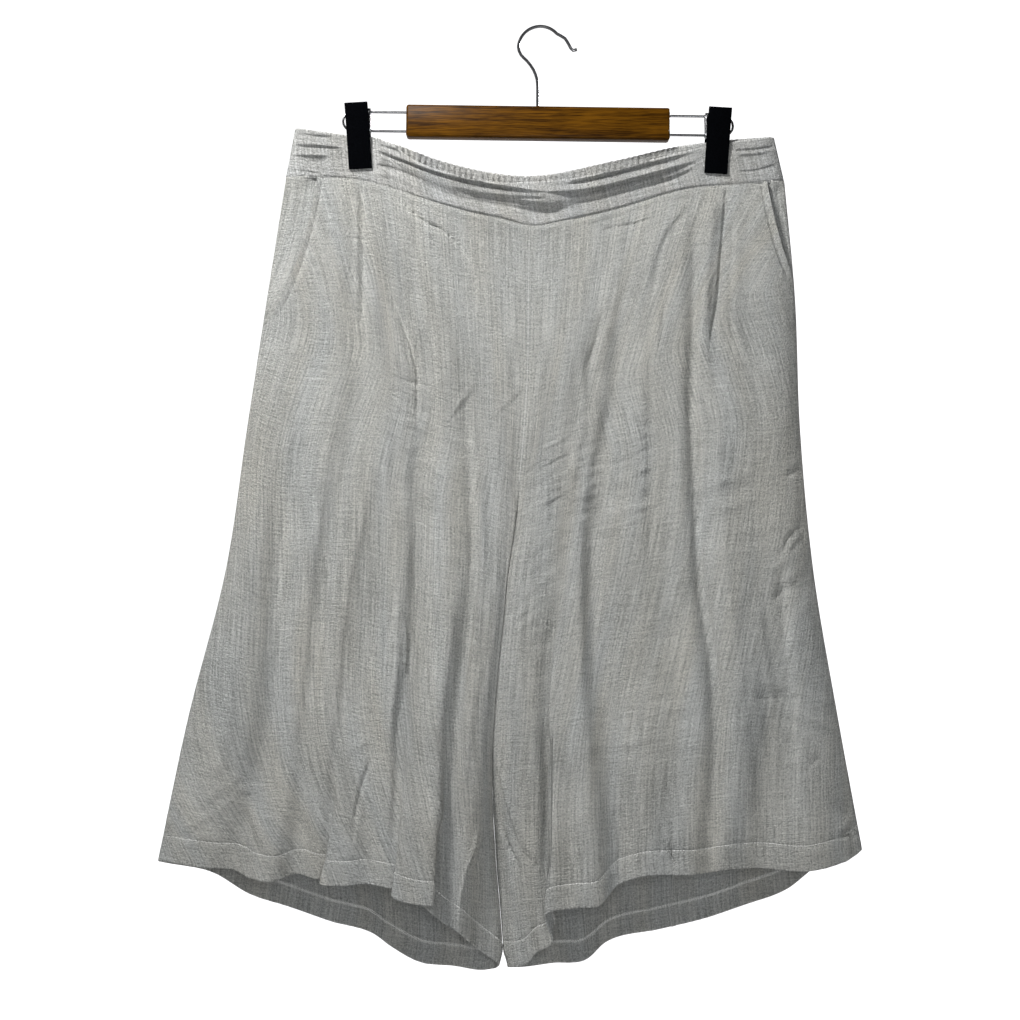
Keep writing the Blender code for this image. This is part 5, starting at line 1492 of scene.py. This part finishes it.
def make_back_band():
    settings = bpy.context.scene.shorts_cloth
    columns = BACK_GATHERS * BACK_BAND_COLUMNS_PER_GATHER
    across, drop, fore, share = band_grid(BACK_TOP, BACK_SEAM, -1, columns, BACK_BAND_FINE_ROWS)
    points = np.stack((across, drop, -fore), axis=-1)
    cloth = cloth_distances(points)
    wander = noise_heights(cloth, 34.0, 60.0, settings.seed + 50)
    turn = 2 * math.pi * (np.linspace(0.0, BACK_GATHERS, columns + 1)[None] + 0.5 * wander)
    uneven = 0.8 + 0.5 * noise_heights(cloth, 7.0, 30.0, settings.seed + 51)
    ends = side_fade(cloth, 5.0)
    points[..., 1] += 0.35 * ends * uneven * np.cos(turn) * (1.0 - share)
    pressed = 0.12 + 0.88 * band_free(across)
    ruffle = RUFFLE_SHARE * GATHER_HEIGHT * uneven * np.sin(turn) * pressed * ends
    behind = ruffle - settings.band_thickness / MM
    piece = band_shell("waistband_back_cloth", points, ruffle, behind, -1, cloth)
    dress(piece, "linen_band", "waistband_back")


# ---------------------------------------------------------------- pocket facings

def make_facing(name, lines, pocket, inward):
    settings = bpy.context.scene.shorts_cloth
    sides, centres = coarse_rows(lines, FRONT_SEAM, FRONT_ROWS, pocket)
    at = np.linspace(0.0, POCKET_ROWS - 0.05, FACING_FINE_ROWS)
    knots = np.arange(len(sides))
    rows = graph(knots, sides, at), graph(knots, centres, at)
    sections = levels(lines, rows, FRONT_SEAM, 1, inward)
    top = line_top(lines[0], FRONT_SEAM)
    side_across, side_drop = sections.points[:, 0, 0], sections.points[:, 0, 1]
    edge = pocket_edge(pocket, side_across, side_drop, top, inward)
    start = place_of_across(sections, edge, inward, 2.9)[:, None]
    end = place_of_across(sections, edge + inward * POCKET_UNDERLAP, inward, 2.9)[:, None]
    place = end * np.linspace(0.0, 1.0, FACING_COLUMNS + 1)[None]
    points = sections.at(place)
    points[0, :, 1] = seam_drop(FRONT_SEAM, points[0, :, 0])
    points[0, :, 2] = seam_fore(points[0, :, 0], 1)
    normals = grid_normals(points, np.array((0.0, 0.0, 1.0)))
    cloth = cloth_distances(points)
    behind = settings.thickness / MM + FACING_STEP
    below_seam = points[..., 1] - seam_drop(FRONT_SEAM, points[..., 0])
    lower = smooth(0.0, FACING_FADE, below_seam)
    hidden = lower * smooth(0.1 * start, 0.8 * start, place)
    hidden = hidden + (1 - lower) * smooth(0.8 * start, start, place)
    heights = crease_heights(points, FACING_CREASES) * FACING_CREASE_SHARE * (1.0 - 0.4 * hidden)
    crinkle = FACING_CRINKLE_SHARE * settings.crinkle / MM
    heights += crinkle_heights(cloth, crinkle, settings.seed + 60)
    heights *= smooth(0.0, 4.0, cloth[:, :1, 0] - cloth[..., 0])
    heights *= 1.0 - smooth(0.9, 1.0, place / start)
    heights -= behind * hidden
    points[0, :, 1] += SEAM_GAP / 2
    thickness = FACING_THICKNESS_SHARE * settings.thickness / MM
    faces = []
    for lift in (heights, lowest_near(heights) - thickness):
        moved = points + normals * lift[..., None]
        moved[..., 2] = np.maximum(moved[..., 2], SEAM_GAP / 2)
        faces.append(placed(moved))
    piece = shell(name + "_cloth", *faces, cloth, leg_linen())
    dress(piece, "linen", name)


# ---------------------------------------------------------------- operators

class SHORTS_OT_waistbands(bpy.types.Operator):
    """Build the flat front waistband and the gathered back waistband"""

    bl_idname = "shorts.waistbands"
    bl_label = "Waistbands"

    def execute(self, context):
        make_front_band()
        make_back_band()
        return {"FINISHED"}


class SHORTS_OT_fronts(bpy.types.Operator):
    """Build the two fronts with their pleats, hems and stitching"""

    bl_idname = "shorts.fronts"
    bl_label = "Fronts"

    def execute(self, context):
        for name, layout in (
            ("front_left", Layout(
                FRONT_LEFT, FRONT_SEAM, 1, 1, FRONT_ROWS, FRONT_FINE_ROWS,
                FRONT_LEFT_COLUMNS_PER_FOLD * (len(FRONT_LEFT) - 1),
                FRONT_LEFT_CREASES, FRONT_LEFT_RIPPLES, POCKET_LEFT,
            )),
            ("front_right", Layout(
                FRONT_RIGHT, FRONT_SEAM, 1, -1, FRONT_ROWS, FRONT_FINE_ROWS,
                FRONT_RIGHT_COLUMNS_PER_FOLD * (len(FRONT_RIGHT) - 1),
                FRONT_RIGHT_CREASES, FRONT_RIGHT_RIPPLES, POCKET_RIGHT,
            )),
        ):
            piece, sewing = make_panel(name, layout)
        return {"FINISHED"}


class SHORTS_OT_backs(bpy.types.Operator):
    """Build the two backs with their gathers, hems and stitching"""

    bl_idname = "shorts.backs"
    bl_label = "Backs"

    def execute(self, context):
        for name, lines, inward in (("back_left", BACK_LEFT, 1), ("back_right", BACK_RIGHT, -1)):
            piece, sewing = make_panel(name, Layout(
                lines, BACK_SEAM, -1, inward, BACK_ROWS, BACK_FINE_ROWS,
                BACK_COLUMNS_PER_FOLD * (len(lines) - 1), BACK_CREASES, BACK_RIPPLES, None,
            ))
        return {"FINISHED"}


class SHORTS_OT_facings(bpy.types.Operator):
    """Build the pieces that show inside the slanted pockets"""

    bl_idname = "shorts.facings"
    bl_label = "Pocket facings"

    def execute(self, context):
        make_facing("pocket_facing_left", FRONT_LEFT, POCKET_LEFT, 1)
        make_facing("pocket_facing_right", FRONT_RIGHT, POCKET_RIGHT, -1)
        return {"FINISHED"}


def smoothed(name, node, material, rounding):
    """A copy of a solid with its points joined, its long edges rounded and its faces smooth."""
    sheet = bmesh.new()
    sheet.from_mesh(node.data)
    bmesh.ops.transform(sheet, matrix=node.matrix_world, verts=sheet.verts)
    bmesh.ops.remove_doubles(sheet, verts=sheet.verts, dist=1e-6)
    flat = math.radians(0.5)
    bmesh.ops.dissolve_limit(sheet, angle_limit=flat, verts=sheet.verts, edges=sheet.edges)
    if rounding:
        edges = [edge for edge in sheet.edges if edge.calc_face_angle(0.0) > math.radians(40)]
        bmesh.ops.bevel(
            sheet, geom=edges, offset=rounding, segments=2, profile=0.5, affect="EDGES",
            clamp_overlap=True,
        )
    return solid_object(name, bpy.data.meshes.new(name), sheet, 35, material)


class SHORTS_OT_hanger(bpy.types.Operator):
    """Finish the wooden bar, the wires and the clips"""

    bl_idname = "shorts.hanger"
    bl_label = "Hanger"

    def execute(self, context):
        finishes = {"wood": wood_material(), "steel": steel_material(), "clip_black": clip_material()}
        for subpart in frame["record"]["subparts"]:
            name, slot = subpart["node"], subpart["material_slot"]
            if slot in finishes:
                rounding = 0.5 * MM if slot == "clip_black" else 0.0
                piece = smoothed(name + "_finished", frame["nodes"][name], finishes[slot], rounding)
                dress(piece, slot, name)
        return {"FINISHED"}


def area_light(name, place, aim, size, power, colour):
    data = bpy.data.lights.new(name, "AREA")
    data.shape = "DISK"
    data.size = size
    data.energy = power
    data.color = colour
    lamp = link(bpy.data.objects.new(name, data))
    lamp.location = place
    lamp.visible_camera = False
    lamp.rotation_euler = (Vector(aim) - Vector(place)).to_track_quat("-Z", "Y").to_euler()


def plane(name, corners, material):
    data = bpy.data.meshes.new(name)
    data.from_pydata(corners, [], [(0, 1, 2, 3)])
    data.materials.append(material)
    link(bpy.data.objects.new(name, data))


class SHORTS_OT_stage(bpy.types.Operator):
    """Set up the camera, lights, floor and backdrop"""

    bl_idname = "shorts.stage"
    bl_label = "Stage"

    def execute(self, context):
        settings = context.scene.shorts_stage
        scene = context.scene
        data = bpy.data.cameras.new("camera")
        data.sensor_width = SENSOR_WIDTH
        data.lens = SENSOR_WIDTH * VIEW_DISTANCE / PICTURE_WIDTH
        camera = link(bpy.data.objects.new("camera", data))
        camera.location = Vector((VIEW_ACROSS, -VIEW_DISTANCE, -VIEW_DROP)) * MM
        camera.rotation_euler = (math.pi / 2, 0.0, 0.0)
        scene.camera = camera
        scene.view_settings.view_transform = "Standard"

        for name, (place, aim, size, colour) in LIGHTS.items():
            area_light(name, place, aim, size, getattr(settings, name + "_power"), colour)

        world = bpy.data.worlds.new("room")
        scene.world = world
        world.use_nodes = True
        background = world.node_tree.nodes["Background"]
        background.inputs["Color"].default_value = (0.93, 0.96, 1.0, 1.0)
        background.inputs["Strength"].default_value = settings.room_light

        glow = new_material(
            "backdrop paper", (0.9, 0.9, 0.9), 1.0,
            Emission_Color=(1.0, 1.0, 1.0, 1.0), Emission_Strength=1.0,
        )[0]
        paint = new_material("floor paint", (0.8, 0.8, 0.8), 0.9)[0]
        far, low = settings.backdrop_distance, -settings.floor_drop
        wide, high = BACKDROP_HALF_WIDTH, BACKDROP_TOP
        foot = [(-wide, far, low), (wide, far, low)]
        plane("backdrop", foot + [(wide, far, high), (-wide, far, high)], glow)
        plane("floor", [(-wide, -far, low), (wide, -far, low)] + foot[::-1], paint)
        return {"FINISHED"}


class SHORTS_PT_panel(bpy.types.Panel):
    """Sizes, colours and the steps that build the shorts"""

    bl_label = "Cropped shorts"
    bl_idname = "SHORTS_PT_panel"
    bl_space_type = "VIEW_3D"
    bl_region_type = "UI"
    bl_category = "Shorts"

    def draw(self, context):
        scene = context.scene
        for group in (scene.shorts_cloth, scene.shorts_hanger, scene.shorts_stage):
            box = self.layout.box()
            for name in group.bl_rna.properties.keys():
                if name not in ("rna_type", "name"):
                    box.prop(group, name)
        for operator in STEPS:
            self.layout.operator(operator.bl_idname)


STEPS = (
    SHORTS_OT_stage, SHORTS_OT_waistbands, SHORTS_OT_facings, SHORTS_OT_fronts,
    SHORTS_OT_backs, SHORTS_OT_hanger,
)
CLASSES = (ClothSettings, HangerSettings, StageSettings) + STEPS + (SHORTS_PT_panel,)


def register():
    for kind in CLASSES:
        bpy.utils.register_class(kind)
    bpy.types.Scene.shorts_cloth = PointerProperty(type=ClothSettings)
    bpy.types.Scene.shorts_hanger = PointerProperty(type=HangerSettings)
    bpy.types.Scene.shorts_stage = PointerProperty(type=StageSettings)


def unregister():
    for name in ("shorts_cloth", "shorts_hanger", "shorts_stage"):
        delattr(bpy.types.Scene, name)
    for kind in reversed(CLASSES):
        bpy.utils.unregister_class(kind)


def main():
    register()
    bpy.ops.shorts.stage()
    bpy.ops.shorts.waistbands()
    bpy.ops.shorts.facings()
    bpy.ops.shorts.fronts()
    bpy.ops.shorts.backs()
    bpy.ops.shorts.hanger()


if __name__ == "__main__":
    main()
